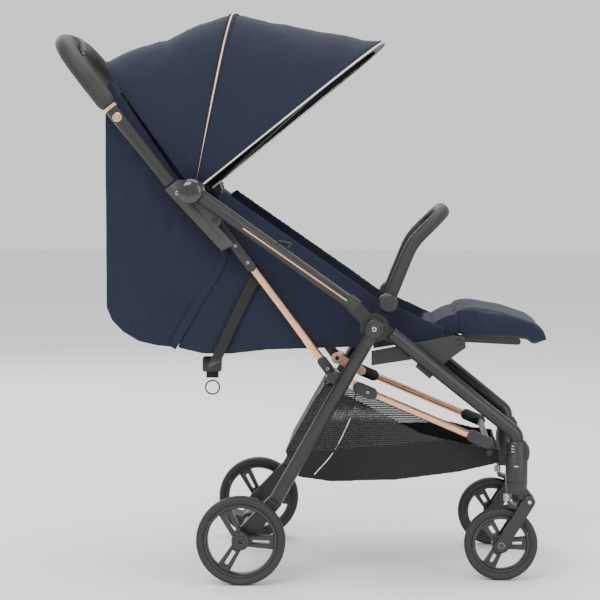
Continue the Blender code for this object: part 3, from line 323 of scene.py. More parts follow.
class Piece:
    """One piece in the making: shapes go into its mesh, each with a finish."""

    def __init__(self, name, body):
        self.name, self.body = name, body
        self.bm = bmesh.new()
        self.finishes = []
        self.object = None

    def tag(self, known, finish):
        if finish not in self.finishes:
            self.finishes.append(finish)
        index = self.finishes.index(finish)
        for face in self.bm.faces:
            if face not in known:
                face.material_index = index
        return self

    def tube(self, path, radius, finish, sides=24, close=True, across=None):
        known = set(self.bm.faces)
        path = [Vector(p) for p in path]
        radii = radius if isinstance(radius, (list, tuple)) else [radius] * len(path)
        rings = []
        for i, here in enumerate(path):
            ahead = path[min(i + 1, len(path) - 1)] - here
            behind = here - path[max(i - 1, 0)]
            tangent = (ahead.normalized() + behind.normalized()).normalized()
            if across is None:
                across = Vector((0, 1, 0)) if abs(tangent.y) < 0.9 else Vector((1, 0, 0))
            across = (across - tangent * across.dot(tangent)).normalized()
            turn = Matrix((across, tangent.cross(across), tangent)).transposed().to_4x4()
            made = bmesh.ops.create_circle(
                self.bm, segments=sides, radius=radii[i],
                matrix=Matrix.Translation(here) @ turn)
            rings.append(made["verts"])
        for first, second in zip(rings, rings[1:]):
            edges = {e for v in first for e in v.link_edges if e.other_vert(v) in first}
            edges |= {e for v in second for e in v.link_edges if e.other_vert(v) in second}
            bmesh.ops.bridge_loops(self.bm, edges=list(edges))
        if close:
            self.bm.faces.new(rings[0])
            self.bm.faces.new(rings[-1])
        return self.tag(known, finish)

    def lathe(self, profile, centre, finish, axis=(0, 1, 0), steps=64, closed=True):
        """The profile is (radius, place along the axis)."""
        known = set(self.bm.faces)
        verts = [self.bm.verts.new((r, 0, a)) for r, a in profile]
        pairs = list(zip(verts, verts[1:]))
        if closed:
            pairs.append((verts[-1], verts[0]))
        edges = [self.bm.edges.new(p) for p in pairs if p[0].co.x > 1e-7 or p[1].co.x > 1e-7]
        bmesh.ops.spin(self.bm, geom=verts + edges, cent=(0, 0, 0), axis=(0, 0, 1), angle=math.tau,
                              steps=steps, use_merge=True)
        fresh = [v for v in self.bm.verts if not any(f in known for f in v.link_faces) and v.link_faces]
        turn = Vector((0, 0, 1)).rotation_difference(Vector(axis)).to_matrix()
        bmesh.ops.rotate(self.bm, verts=fresh, matrix=turn)
        bmesh.ops.translate(self.bm, verts=fresh, vec=centre)
        bmesh.ops.remove_doubles(self.bm, verts=fresh, dist=1e-6)
        return self.tag(known, finish)

    def plate(self, outline, y0, y1, finish, bevel=0.0, segments=3):
        known = set(self.bm.faces)
        verts = [self.bm.verts.new(xz(p, y0)) for p in outline]
        face = self.bm.faces.new(verts)
        made = bmesh.ops.extrude_face_region(self.bm, geom=[face])
        top = [v for v in made["geom"] if isinstance(v, bmesh.types.BMVert)]
        bmesh.ops.translate(self.bm, verts=top, vec=(0, y1 - y0, 0))
        if bevel:
            flat = {e for v in verts + top for e in v.link_edges
                    if abs(e.verts[0].co.y - e.verts[1].co.y) < 1e-7}
            bmesh.ops.bevel(self.bm, geom=list(flat), offset=bevel, affect="EDGES", segments=segments,
                            profile=0.5, material=-1)
        return self.tag(known, finish)

    def block(self, low_corner, high_corner, finish, bevel=0.001):
        known = set(self.bm.faces)
        lo, hi = Vector(low_corner), Vector(high_corner)
        size = Matrix.Diagonal((*(hi - lo), 1))
        made = bmesh.ops.create_cube(self.bm, size=1.0, matrix=Matrix.Translation((lo + hi) / 2) @ size)
        edges = {e for v in made["verts"] for e in v.link_edges}
        bmesh.ops.bevel(self.bm, geom=list(edges), offset=bevel, affect="EDGES", segments=2, profile=0.5,
                        material=-1)
        return self.tag(known, finish)

    def sheet(self, columns, rows, place, finish):
        """A surface from a grid: place(u, v) gives each point, u and v from 0 to 1."""
        known = set(self.bm.faces)
        made = bmesh.ops.create_grid(self.bm, x_segments=columns, y_segments=rows, size=0.5)
        for vert in made["verts"]:
            vert.co = place(vert.co.x + 0.5, vert.co.y + 0.5)
        return self.tag(known, finish)

    def ribbon(self, path, width, thick, finish, across):
        """Flat webbing along a path."""
        known = set(self.bm.faces)
        path = [Vector(p) for p in path]
        rings = []
        for i, here in enumerate(path):
            tangent = (path[min(i + 1, len(path) - 1)] - path[max(i - 1, 0)]).normalized()
            wide = (Vector(across) - tangent * Vector(across).dot(tangent)).normalized()
            up = tangent.cross(wide)
            corners = [(-1, -1), (0, -1.15), (1, -1), (1, 1), (0, 1.15), (-1, 1)]
            rings.append([self.bm.verts.new(here + wide * a * width / 2 + up * b * thick / 2)
                          for a, b in corners])
        for first, second in zip(rings, rings[1:]):
            for a in range(6):
                b = (a + 1) % 6
                self.bm.faces.new((first[a], first[b], second[b], second[a]))
        self.bm.faces.new(rings[0])
        self.bm.faces.new(rings[-1])
        return self.tag(known, finish)

    def copy(self, node, finish):
        """Adds the frame node's own shape, its flat stretches made whole again."""
        known = set(self.bm.faces)
        start = set(self.bm.verts)
        self.bm.from_mesh(bpy.data.objects[node].data)
        fresh = [v for v in self.bm.verts if v not in start]
        bmesh.ops.remove_doubles(self.bm, verts=fresh, dist=1e-6)
        fresh = [v for v in self.bm.verts if v not in start]
        edges = list({e for v in fresh for e in v.link_edges})
        bmesh.ops.dissolve_limit(self.bm, angle_limit=math.radians(1), use_dissolve_boundaries=False,
                                 verts=fresh, edges=edges)
        return self.tag(known, finish)

    def done(self, *nodes, sharp=40, edges=0.0, wall=0.0, offset=-1.0, smooth=0):
        """The finished object, riding on its body in place of the named frame nodes."""
        bmesh.ops.remove_doubles(self.bm, verts=self.bm.verts, dist=2e-6)
        bmesh.ops.recalc_face_normals(self.bm, faces=self.bm.faces)
        mesh = bpy.data.meshes.new(self.name)
        self.bm.to_mesh(mesh)
        self.bm.free()
        for finish in self.finishes:
            mesh.materials.append(finish.material)
        mesh.shade_smooth()
        mesh.set_sharp_from_angle(angle=math.radians(sharp))
        made = bpy.data.objects.new(self.name, mesh)
        bpy.context.scene.collection.objects.link(made)
        if edges:
            step = made.modifiers.new("edges", "BEVEL")
            step.width = edges
            step.segments = 2
            step.limit_method = "ANGLE"
            step.angle_limit = math.radians(38)
            step.use_clamp_overlap = True
            step.harden_normals = True
        if wall:
            step = made.modifiers.new("wall", "SOLIDIFY")
            step.thickness = wall
            step.offset = offset
        if smooth:
            step = made.modifiers.new("round", "SUBSURF")
            step.levels = smooth
            step.render_levels = smooth
        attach(made, self.body)
        if nodes:
            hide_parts(*nodes)
        self.object = made
        return made


def bar_outline(start, end, width, steps=10):
    slope = slope_of(start, end)
    points = []
    for centre, first in ((end, slope - math.pi / 2), (start, slope + math.pi / 2)):
        for i in range(steps + 1):
            points.append(along(centre, first + math.pi * i / steps, width / 2))
    return points


def spans(side, inner, outer):
    return tuple(sorted((side * inner, side * outer)))


def bolt(piece, place, y, side, radius=0.004, finish=None):
    """A low screw head with a round socket, facing outwards."""
    profile = [(0, -0.0004), (radius * 0.5, -0.0004), (radius * 0.55, 0.0010), (radius * 0.9, 0.0010),
               (radius, 0.0003), (radius, -0.0012), (0, -0.0012)]
    piece.lathe([(r, side * a) for r, a in profile], xz(place, y), finish or STEEL, steps=24)


# ---- cloth ----
def field(scale, seed, strength, stretch=(1, 1, 1)):
    """A smooth random push at each place, for wrinkles."""
    def push(place):
        spot = Vector(a * b * scale for a, b in zip(place, stretch)) + Vector((seed, seed * 1.7, seed * 0.3))
        return noise.fractal(spot, 0.6, 2.1, 3) * strength
    return push


def remeshed(name, node, voxel, rounds=2):
    """A fine even mesh of the frame node's shape, its corners softened."""
    source = bpy.data.objects[node]
    mesh = source.data.copy()
    mesh.name = name
    made = bpy.data.objects.new(name, mesh)
    bpy.context.scene.collection.objects.link(made)
    made.data.materials.clear()
    step = made.modifiers.new("even", "REMESH")
    step.mode = "VOXEL"
    step.voxel_size = voxel
    apply_modifiers(made)
    bm = bmesh.new()
    bm.from_mesh(made.data)
    for _ in range(rounds):
        bmesh.ops.smooth_vert(bm, verts=bm.verts, factor=0.5, use_axis_x=True, use_axis_y=True,
                              use_axis_z=True)
    bm.to_mesh(made.data)
    bm.free()
    return made


def apply_modifiers(made):
    graph = bpy.context.evaluated_depsgraph_get()
    whole = bpy.data.meshes.new_from_object(made.evaluated_get(graph))
    made.modifiers.clear()
    made.data = whole


def moved(made, push):
    """Shifts every point by the push for its place, all worked out before any moves."""
    places = [v.co + push(v.co) for v in made.data.vertices]
    made.data.vertices.foreach_set("co", [c for place in places for c in place])
    made.data.update()


def dressed(made, body, finish, *nodes, levels=0):
    """Finish, body and replaced nodes for a cloth object."""
    made.data.materials.clear()
    made.data.materials.append(finish.material)
    made.data.shade_smooth()
    if levels:
        step = made.modifiers.new("round", "SUBSURF")
        step.levels = levels
        step.render_levels = levels
    if body:
        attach(made, body)
    if nodes:
        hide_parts(*nodes)
    return made


def puffed(made, cap, pressure=4.0, frames=20):
    """Swells the object by cloth simulation, no point moving further than the cap."""
    before = [v.co.copy() for v in made.data.vertices]
    step = made.modifiers.new("swell", "CLOTH")
    step.settings.use_pressure = True
    step.settings.uniform_pressure_force = pressure
    step.settings.effector_weights.gravity = 0
    step.settings.quality = 6
    step.point_cache.frame_start = 1
    step.point_cache.frame_end = frames
    for frame_number in range(1, frames + 1):
        bpy.context.scene.frame_set(frame_number)
    graph = bpy.context.evaluated_depsgraph_get()
    swollen = made.evaluated_get(graph)
    after = [v.co.copy() for v in swollen.data.vertices]
    made.modifiers.clear()
    for vert, old, new in zip(made.data.vertices, before, after):
        way = new - old
        vert.co = old + way * min(1, cap / max(way.length, 1e-9))
    made.data.update()
    bpy.context.scene.frame_set(1)
    return made


# ---- wheels ----
def wheel(word, side, end):
    rear = end == "rear"
    place = REAR_AXLE if rear else FRONT_AXLE
    radius = place[1]
    centre = xz(place, side * (REAR_WHEEL_HALF if rear else CASTER_HALF))
    half = (high(f"{end}_tyre_{word}").y - low(f"{end}_tyre_{word}").y) / 2
    body = f"{end}_wheel_{word}"
    seat = radius - 0.0142
    tyre = Piece(f"{end}_tread_{word}", body)
    profile = [(seat, -half + 0.0032), (seat + 0.0045, -half + 0.0004), (seat + 0.0090, -half + 0.0002)]
    for i in range(9):
        turn = math.pi * (i / 8 - 0.5)
        across = half * math.sin(turn)
        profile.append((radius - 0.0052 * (1 - math.cos(turn)) ** 1.3, across * 0.985))
    profile += [(seat + 0.0090, half - 0.0002), (seat + 0.0045, half - 0.0004), (seat, half - 0.0032)]
    tyre.lathe(profile, centre, RUBBER, steps=96)
    for turn in (-1, 1):
        known = [(radius - 0.0018, turn * half * 0.42), (radius + 0.0, turn * half * 0.38),
                 (radius - 0.0018, turn * half * 0.34)]
        tyre.lathe(known, centre, RUBBER, steps=96)
    tyre.done(f"{end}_tyre_{word}", sharp=50)

    rim = Piece(f"{end}_hub_{word}", body)
    outer = seat - 0.0002
    ring = [(outer - 0.0065, -half + 0.0045), (outer - 0.0050, -half + 0.0024),
            (outer - 0.0008, -half + 0.0018), (outer, -half + 0.0026), (outer, half - 0.0026),
            (outer - 0.0008, half - 0.0018),
            (outer - 0.0050, half - 0.0024), (outer - 0.0065, half - 0.0045), (outer - 0.0062, 0)]
    rim.lathe(ring, centre, RIM, steps=96)
    face = half - 0.0052
    hub_r = 0.0165
    bore = 0.0044 if rear else 0.0034
    hub = [(bore, -half + 0.001), (hub_r - 0.002, -half + 0.001), (hub_r, -half + 0.003),
           (hub_r, half - 0.003), (hub_r - 0.002, half - 0.001), (0.0108, half - 0.001),
           (0.0104, half - 0.0016), (0.0100, half - 0.001),
           (bore, half - 0.001)]
    if side < 0:
        hub = [(r, -a) for r, a in hub]
    rim.lathe(hub, centre, RIM, steps=64)
    for i in range(3):
        slope = math.radians((118 if end == "rear" else 122) + 120 * i)
        across = slope + math.pi / 2
        for turn in (-1, 1):
            root = along(place, slope, hub_r - 0.004)
            tip = along(place, slope, outer - 0.0045)
            corners = [along(root, across, turn * 0.0034), along(root, across, turn * 0.0096),
                       along(tip, across, turn * 0.0128), along(tip, across, turn * 0.0034)]
            rim.plate(corners, centre.y - face, centre.y + face, RIM, 0.0009, 2)
        for near, far in ((hub_r - 0.004, hub_r + 0.005), (outer - 0.0145, outer - 0.0045)):
            root, tip = along(place, slope, near), along(place, slope, far)
            corners = [along(root, across, 0.0040), along(root, across, -0.0040),
                       along(tip, across, -0.0040), along(tip, across, 0.0040)]
            rim.plate(corners, centre.y - face, centre.y + face, RIM, 0.0009, 2)
    rim.done(f"{end}_rim_{word}", sharp=38)


def caster(word, side):
    y = side * CASTER_HALF
    housing = Piece(f"caster_socket_{word}", "front_frame")
    housing.copy(f"caster_housing_{word}", BLACK)
    top, foot = high(f"caster_housing_{word}").z, low(f"caster_housing_{word}").z
    centre = Vector((CASTER_X, y, 0))
    for level, wide in ((foot + 0.0165, 0.0209), (foot + 0.045, 0.0207)):
        housing.lathe([(wide - 0.002, level - 0.001), (wide, level - 0.0006), (wide, level + 0.0006),
                       (wide - 0.002, level + 0.001)], centre, BLACK, axis=(0, 0, 1), steps=64)
    rear_bulge = [(CASTER_X + 0.010, foot + 0.036), (CASTER_X + 0.0215, foot + 0.040),
                  (CASTER_X + 0.0240, foot + 0.052), (CASTER_X + 0.0225, foot + 0.064),
                  (CASTER_X + 0.0160, top - 0.001), (CASTER_X + 0.008, top - 0.001)]
    housing.plate(rear_bulge, y - 0.0105, y + 0.0105, BLACK, 0.003, 3)
    face = y + side * 0.0186
    for i in range(3):
        z = top - 0.0075 - i * 0.0052
        housing.block((CASTER_X - 0.0105, min(face, face + side * 0.0022), z - 0.0009),
                      (CASTER_X - 0.0055, max(face, face + side * 0.0022), z + 0.0009), STEEL, 0.0004)
    mark = y + side * 0.0203
    housing.block((CASTER_X - 0.0058, min(mark, mark + side * 0.0006), foot + 0.0290),
                  (CASTER_X + 0.0018, max(mark, mark + side * 0.0006), foot + 0.0308), WHITE_MARK, 0.0001)
    housing.done(f"caster_housing_{word}", edges=0.0008)
    swivel = Piece(f"swivel_body_{word}", f"caster_{word}")
    swivel.copy(f"caster_swivel_{word}", BLACK)
    swivel.done(f"caster_swivel_{word}", edges=0.0008)
    arms = Piece(f"fork_arms_{word}", f"fork_{word}")
    arms.copy(f"fork_{word}", BLACK)
    outer = y + side * ((high(f"fork_{word}").y - low(f"fork_{word}").y) / 2)
    for place, wide, finish in ((FORK_PIVOT, 0.0105, BLACK), (FRONT_AXLE, 0.0066, GLOSS)):
        dome = [(0, 0), (wide, 0), (wide, 0.0012), (wide * 0.8, 0.0026), (0, 0.0032)]
        arms.lathe([(r, side * a) for r, a in dome], xz(place, outer - side * 0.0004), finish, steps=40)
    bolt(arms, FORK_PIVOT, outer + side * 0.0034, side, 0.0036)
    arms.done(f"fork_{word}", edges=0.0010)
    axle = Piece(f"axle_pin_{word}", f"fork_{word}")
    axle.copy(f"front_axle_{word}", STEEL)
    axle.done(f"front_axle_{word}", edges=0.0003)
    coil = Piece(f"coil_{word}", f"caster_{word}")
    lo, hi = low(f"spring_{word}"), high(f"spring_{word}")
    middle, reach = (lo + hi) / 2, (hi.x - lo.x) / 2 - 0.0011
    path = []
    for i in range(6 * 24 + 1):
        turn = math.tau * i / 24
        path.append((middle.x + reach * math.cos(turn), middle.y + reach * math.sin(turn),
                     lo.z + 0.0011 + (hi.z - lo.z - 0.0022) * i / (6 * 24)))
    coil.tube(path, 0.0010, STEEL, sides=10, across=Vector((0, 0, 1)))
    coil.done(f"spring_{word}")


# ---- frame ----
def grooved(piece, start, end, y, radius, finish):
    """A link bar with a shallow channel along both faces."""
    slope = slope_of(start, end)
    piece.tube([xz(start, y), xz(end, y)], radius, finish, sides=48)
    for turn in (-1, 1):
        for lift in (-0.42, 0.42):
            offset = along((0, 0), slope + math.pi / 2, radius * lift)
            first = (start[0] + offset[0], start[1] + offset[1])
            last = (end[0] + offset[0], end[1] + offset[1])
            rib = y + turn * radius * 0.86
            piece.tube([xz(first, rib), xz(last, rib)], radius * 0.22, finish, sides=16)


def side_frame(word, side):
    y = side * SIDE_HALF
    slope = slope_of(MID, HANDLE)
    tube = Piece(f"upper_tube_{word}", "side_tubes")
    tube.copy(f"side_tube_{word}", CHARCOAL)
    face = high(f"side_tube_{word}").y if side > 0 else low(f"side_tube_{word}").y
    face = side * (abs(face) - 0.0002)
    low_end = (MID[0] + math.cos(slope) * 0.046 , MID[1] + 0.013 + math.sin(slope) * 0.046)
    high_end = (HANDLE[0] - math.cos(slope) * 0.118, HANDLE[1] + 0.004 - math.sin(slope) * 0.118)
    inlay = [Vector(xz(low_end, face)), Vector(xz(high_end, face))]
    tube.tube(inlay, 0.0014, ROSE, sides=12)
    for at, reach in ((0.040, 0.022), (0.395, 0.020)):
        first = (MID[0] + math.cos(slope) * at, MID[1] + 0.013 + math.sin(slope) * at)
        last = along(first, slope, reach)
        tube.tube([xz(first, y), xz(last, y)], 0.0138, BLACK, sides=48)
    clip = along((MID[0], MID[1] + 0.013), slope, 0.205)
    clip = along(clip, slope - math.pi / 2, 0.0115)
    loop = [clip, along(clip, slope - math.pi / 2, 0.009), along(clip, slope, 0.020)]
    tube.tube(spline([xz(p, y - side * 0.004) for p in loop], 12), 0.0022, BLACK, sides=12)
    tube.done(f"side_tube_{word}", edges=0.0009)

    cap = Piece(f"pivot_cap_{word}", "side_tubes")
    face = abs(low(f"hub_cap_{word}").y) if side < 0 else high(f"hub_cap_{word}").y
    base = face - 0.0100
    dome = [(0, 0), (0.0226, 0), (0.0230, 0.0006), (0.0230, 0.0030), (0.0222, 0.0040), (0.0218, 0.0036),
            (0.0212, 0.0052), (0.0185, 0.0076), (0.0135, 0.0094), (0.0082, 0.0099), (0.0078, 0.0086),
            (0.0060, 0.0086), (0.0056, 0.0096), (0.0030, 0.0099), (0, 0.0099)]
    cap.lathe([(r, side * (base + a)) for r, a in dome], xz(HANDLE, 0), GLOSS, steps=96)
    shank = [(0, base - 0.020), (0.005, base - 0.020), (0.005, base), (0, base)]
    cap.lathe([(r, side * a) for r, a in shank], xz(HANDLE, 0), STEEL)
    cap.done(f"hub_cap_{word}", sharp=30)

    leg = Piece(f"front_tube_{word}", "front_frame")
    leg.copy(f"front_leg_{word}", CHARCOAL)
    leg.done(f"front_leg_{word}", edges=0.0009)

    rear = Piece(f"rear_tube_{word}", "rear_legs")
    rear.copy(f"rear_leg_{word}", CHARCOAL)
    slope = slope_of(MID, (-0.041, 0.151))
    outer = abs(low(f"rear_leg_{word}").y) if side < 0 else high(f"rear_leg_{word}").y
    middle = side * (outer - 0.0125)
    lean = -0.030 / math.dist(MID, (-0.041, 0.151)) * side
    first, last = -0.017, 0.014
    a, b = along(MID, slope, first), along(MID, slope, last)
    rear.tube([xz(a, middle + lean * first), xz(b, middle + lean * last)], 0.0136, BLACK, sides=48)
    knuckle = [(0, outer - 0.0235), (0.0158, outer - 0.0235), (0.0165, outer - 0.0225),
               (0.0165, outer - 0.0010), (0.0152, outer + 0.0004), (0, outer + 0.0004)]
    rear.lathe([(r, side * a) for r, a in knuckle], xz(MID, 0), CHARCOAL, steps=64)
    rear.done(f"rear_leg_{word}", edges=0.0009)
    foot = Piece(f"rear_shoe_{word}", "rear_legs")
    foot.copy(f"rear_foot_{word}", BLACK)
    foot.done(f"rear_foot_{word}", edges=0.0012)
    pin = Piece(f"middle_pin_{word}", "front_frame")
    head = high(f"mid_pivot_{word}").y if side > 0 else -low(f"mid_pivot_{word}").y
    rivet = [(0, -0.060), (0.0039, -0.060), (0.0039, -0.002), (0.0092, -0.002), (0.0092, -0.0008),
             (0.0076, 0.0004), (0, 0.0004)]
    pin.lathe([(r, side * (head + a)) for r, a in rivet], xz(MID, 0), BLACK, steps=64)
    bolt(pin, MID, side * (head + 0.0006), side, 0.0042)
    pin.done(f"mid_pivot_{word}", edges=0.0005)

    y = side * LINK_HALF
    strut = Piece(f"strut_bar_{word}", "struts")
    strut.copy(f"strut_{word}", ROSE)
    slope = slope_of(STRUT_TOP, STRUT_PIVOT)
    reach = math.dist(STRUT_TOP, STRUT_PIVOT)
    first, last = along(STRUT_TOP, slope, 0.100), along(STRUT_TOP, slope, reach - 0.020)
    grooved(strut, first, last, y, 0.0076, ROSE)
    for a, b in ((-0.004, 0.108), (reach - 0.030, reach - 0.004)):
        one, two = along(STRUT_TOP, slope, a), along(STRUT_TOP, slope, b)
        strut.plate(bar_outline(one, two, 0.0185), y - 0.0088, y + 0.0088, BLACK, 0.0014, 2)
    for at in (0.060, 0.098, reach - 0.014):
        bolt(strut, along(STRUT_TOP, slope, at), y + side * 0.0092, side, 0.0030, STEEL)
    strut.done(f"strut_{word}", edges=0.0006)
    rod = Piece(f"link_rod_{word}", "lower_rods")
    rod.copy(f"lower_rod_{word}", ROSE)
    slope, reach = slope_of(KNEE, ROD_FRONT), math.dist(KNEE, ROD_FRONT)
    grooved(rod, along(KNEE, slope, 0.020), along(KNEE, slope, reach - 0.022), y, 0.0071, ROSE)
    for a, b in ((0.0, 0.026), (reach - 0.030, reach)):
        one, two = along(KNEE, slope, a), along(KNEE, slope, b)
        rod.plate(bar_outline(one, two, 0.0215), y - 0.0084, y + 0.0084, BLACK, 0.0014, 2)
    bolt(rod, along(KNEE, slope, 0.018), y + side * 0.0088, side, 0.0026, STEEL)
    rod.done(f"lower_rod_{word}", edges=0.0006)

    mount = Piece(f"bumper_socket_{word}", "front_frame")
    mount.copy(f"bumper_mount_{word}", BLACK)
    mount.done(f"bumper_mount_{word}", edges=0.0012)
    rail = Piece(f"seat_bracket_{word}", "front_frame")
    rail.copy(f"seat_rail_{word}", BLACK)
    rail.done(f"seat_rail_{word}", edges=0.0010)


def cross_members():
    for node, body, finish, name in (
            ("front_cross_tube", "front_frame", CHARCOAL, "cross_tube"),
            ("rear_axle", "rear_legs", BLACK, "axle_tube"), ("brake_pedal", "brake", BLACK, "pedal"),
            ("legrest_frame", "legrest", BLACK, "legrest_arms"),
            ("fold_button", "fold_button", GLOSS, "fold_key")):
        piece = Piece(name, body)
        piece.copy(node, finish)
        piece.done(node, edges=0.0007)


# ---- handle ----
def handle():
    foot = along(CROSSBAR, HANDLE_SLOPE, -0.3678)

    def path(first, corner=0.095):
        start = along(foot, HANDLE_SLOPE, first)
        return filleted([xz(start, -HANDLE_HALF), xz(CROSSBAR, -HANDLE_HALF), xz(CROSSBAR, HANDLE_HALF),
                         xz(start, HANDLE_HALF)], corner, 16)

    bar = Piece("handle_tube", "handle")
    bar.tube(path(0.034), 0.0125, CHARCOAL, sides=48)
    for side in SIDES.values():
        ring = along(foot, HANDLE_SLOPE, 0.207)
        ends = [xz(along(ring, HANDLE_SLOPE, step), side * HANDLE_HALF) for step in (0, 0.006)]
        bar.tube(ends, 0.0142, ROSE, sides=48)
        knob = along(foot, HANDLE_SLOPE, 0.188)
        base = side * (HANDLE_HALF + 0.0105)
        profile = [(0, 0), (0.0085, 0), (0.0085, 0.0032), (0.0070, 0.0046), (0.0050, 0.0046),
                   (0.0046, 0.0034), (0, 0.0034)]
        bar.lathe([(r, side * a) for r, a in profile], xz(knob, base), ROSE, steps=40)
        bar.lathe([(0, side * 0.003), (0.0040, side * 0.003), (0.0034, side * 0.0058), (0, side * 0.0062)],
                  xz(knob, base), STEEL, steps=32)
    bar.done("handlebar")
    grip = Piece("padded_grip", "handle")
    wrap = path(0.216)
    fine = []
    for a, b in zip(wrap, wrap[1:]):
        parts = max(1, round((b - a).length / 0.006))
        fine += [a.lerp(b, i / parts) for i in range(parts)]
    fine.append(wrap[-1])
    swell = field(60, 3.0, 0.00035)
    radii = [0.0172 + swell(p) for p in fine]
    radii[0] = radii[-1] = 0.0145
    radii[1] = radii[-2] = 0.0166
    grip.tube(fine, radii, GRIP, sides=48)
    outward = xz(along((0, 0), HANDLE_SLOPE - math.pi / 2, 0.0171), 0)
    seam = [p + outward for p in fine[2:-2]]
    grip.tube(seam, 0.0009, GRIP, sides=10)
    band = [(0.0, -0.036), (0.0178, -0.036), (0.0192, -0.034), (0.0194, 0.0), (0.0192, 0.034),
            (0.0178, 0.036), (0.0, 0.036)]
    grip.lathe(band, xz(CROSSBAR, 0), BLACK, steps=64)
    grip.done("handle_grip", sharp=60)
    for word, side in SIDES.items():
        mould = Piece(f"handle_moulding_{word}", "handle")
        mould.copy(f"handle_bracket_{word}", BRACKET)
        face = HANDLE_HALF + 0.0125
        ridge = [along(along(foot, HANDLE_SLOPE, a), HANDLE_SLOPE + math.pi / 2, b)
                 for a, b in ((0.030, -0.008), (-0.020, -0.010), (-0.100, -0.012), (-0.104, -0.002),
                              (-0.020, 0.004), (0.030, 0.006))]
        mould.plate(ridge, *spans(side, face - 0.001, face + 0.0012), BRACKET, 0.0008, 2)
        bolt(mould, STRUT_TOP, side * (face + 0.0012), side, 0.0058, BLACK)
        bolt(mould, along(foot, HANDLE_SLOPE, 0.012), side * (face + 0.0014), side, 0.0036, STEEL)
        mould.done(f"handle_bracket_{word}", edges=0.0012)


def bumper():
    bar = Piece("bumper_pad", "bumper")
    bar.copy("bumper_bar", GRIP)
    bar.done("bumper_bar", edges=0.0008, smooth=1, sharp=60)


# ---- soft goods ----
ACROSS, RISE, ROOT = 0.55, 0.62, 0.006
CANOPY = [(130.0, 0.300), (124.0, 0.300), (102.0, 0.292), (79.0, 0.3385), (67.6, 0.344), (54.2, 0.371),
          (42.2, 0.421), (39.0, 0.446)]


def canopy_radius(angle):
    for (a, r), (b, q) in zip(CANOPY, CANOPY[1:]):
        if a >= angle >= b:
            share = (a - angle) / (a - b)
            return r + (q - r) * share
    return CANOPY[-1][1]


def canopy_point(angle, turn, lift=0.0, half=None):
    """A place on the canopy: angle in the side view, turn from the right foot to the left foot."""
    reach = canopy_radius(angle) + lift
    y = -(half or CANOPY_HALF) * math.copysign(abs(math.cos(turn)) ** ACROSS, math.cos(turn))
    out = ROOT + (reach - ROOT) * abs(math.sin(turn)) ** RISE
    return xz(along(HANDLE, math.radians(angle), out), y)


def canopy():
    ripple = field(9, 5.0, 0.0035, (1, 0.6, 1))
    folds = field(26, 8.0, 0.0012, (1, 0.5, 1))

    def panel(name, a0, a1, columns, sag):
        piece = Piece(name, "canopy")

        def place(u, v):
            turn = math.pi * u
            angle = a0 + (a1 - a0) * v
            hollow = sag * math.sin(math.pi * v) * abs(math.sin(turn)) ** 0.5
            spot = canopy_point(angle, turn, -hollow)
            edge = math.sin(math.pi * v) ** 0.5 * min(1, 6 * min(u, 1 - u))
            centre = Vector((HANDLE[0], 0, HANDLE[1]))
            return spot + (spot - centre).normalized() * (ripple(spot) + folds(spot)) * edge
        piece.sheet(96, columns, place, NAVY)
        return piece

    front = panel("canopy_front_cloth", 79.0, 39.0, 40, 0.0)
    made = front.done("canopy_front_panel", wall=0.0012, offset=0)
    made.parent = None
    canopy_point(79, math.pi / 2)
    canopy_point(39, math.pi / 2)
    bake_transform(made)
    rear = panel("canopy_rear_cloth", 126.0, 79.0, 34, 0.004)
    made = rear.done("canopy_rear_panel", wall=0.0012, offset=0)
    made.parent = None
    canopy_point(126, math.pi / 2)
    canopy_point(79, math.pi / 2)
    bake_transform(made)


def canopy_trim():
    trim = Piece("canopy_mid_piping", "canopy")
    for angle, lift, radius, finish in ((79.0, 0.0022, 0.0020, ROSE_CORD), (80.0, 0.0012, 0.0021, NAVY_TRIM),
                                        (78.0, 0.0012, 0.0021, NAVY_TRIM)):
        path = [canopy_point(angle, math.pi * i / 120, lift) for i in range(121)]
        trim.tube(path, radius, finish, sides=12)
    trim.done()
    edge = Piece("canopy_front_piping", "canopy_front")
    for angle, lift, radius, finish in ((38.8, 0.0004, 0.0019, PIPING), (39.4, 0.0010, 0.0016, NAVY_TRIM)):
        path = [canopy_point(angle, math.pi * i / 120, lift) for i in range(121)]
        edge.tube(path, radius, finish, sides=12)
    lining = [[canopy_point(38.5, math.pi * i / 96, 0.0005 - 0.012 * k) for i in range(97)]
              for k in range(3)]
    known = set(edge.bm.faces)
    grid = [[edge.bm.verts.new(p) for p in row] for row in lining]
    for a, b in zip(grid, grid[1:]):
        for i in range(96):
            edge.bm.faces.new((a[i], a[i + 1], b[i + 1], b[i]))
    edge.tag(known, LINING)
    edge.done()
    rim = Piece("canopy_rear_piping", "handle")
    path = [canopy_point(126.0, math.pi * i / 120, 0.0006) for i in range(121)]
    rim.tube(path, 0.0020, NAVY_TRIM, sides=12)
    rim.done()
    for node, body, name in (("canopy_mid_bow", "canopy", "mid_bow_rod"),
                             ("canopy_front_bow", "canopy_front", "front_bow_rod")):
        bow = Piece(name, body)
        bow.copy(node, BLACK)
        bow.done(node)


def cloth_walls(name, node, body, finish, voxel, strength, seed):
    """Soft walls of a frame node, remeshed and wrinkled, each wall moving as one."""
    made = remeshed(name, node, voxel)
    broad = field(7, seed, strength * 1.6)
    fine = field(24, seed + 4, strength * 0.55, (1, 1, 1))

    def push(place):
        wall = min(1, max(0, (abs(place.y) - 0.125) / 0.010))
        amount = broad(Vector((place.x, 0, place.z))) + fine(Vector((place.x, 0, place.z)))
        bottom = broad(place) + fine(place)
        sideways = Vector((0, math.copysign(amount, place.y) * wall, 0))
        return sideways + Vector((bottom * 0.4, 0, bottom)) * (1 - wall)
    moved(made, push)
    dressed(made, body, finish, node)
    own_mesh(made)
    return made


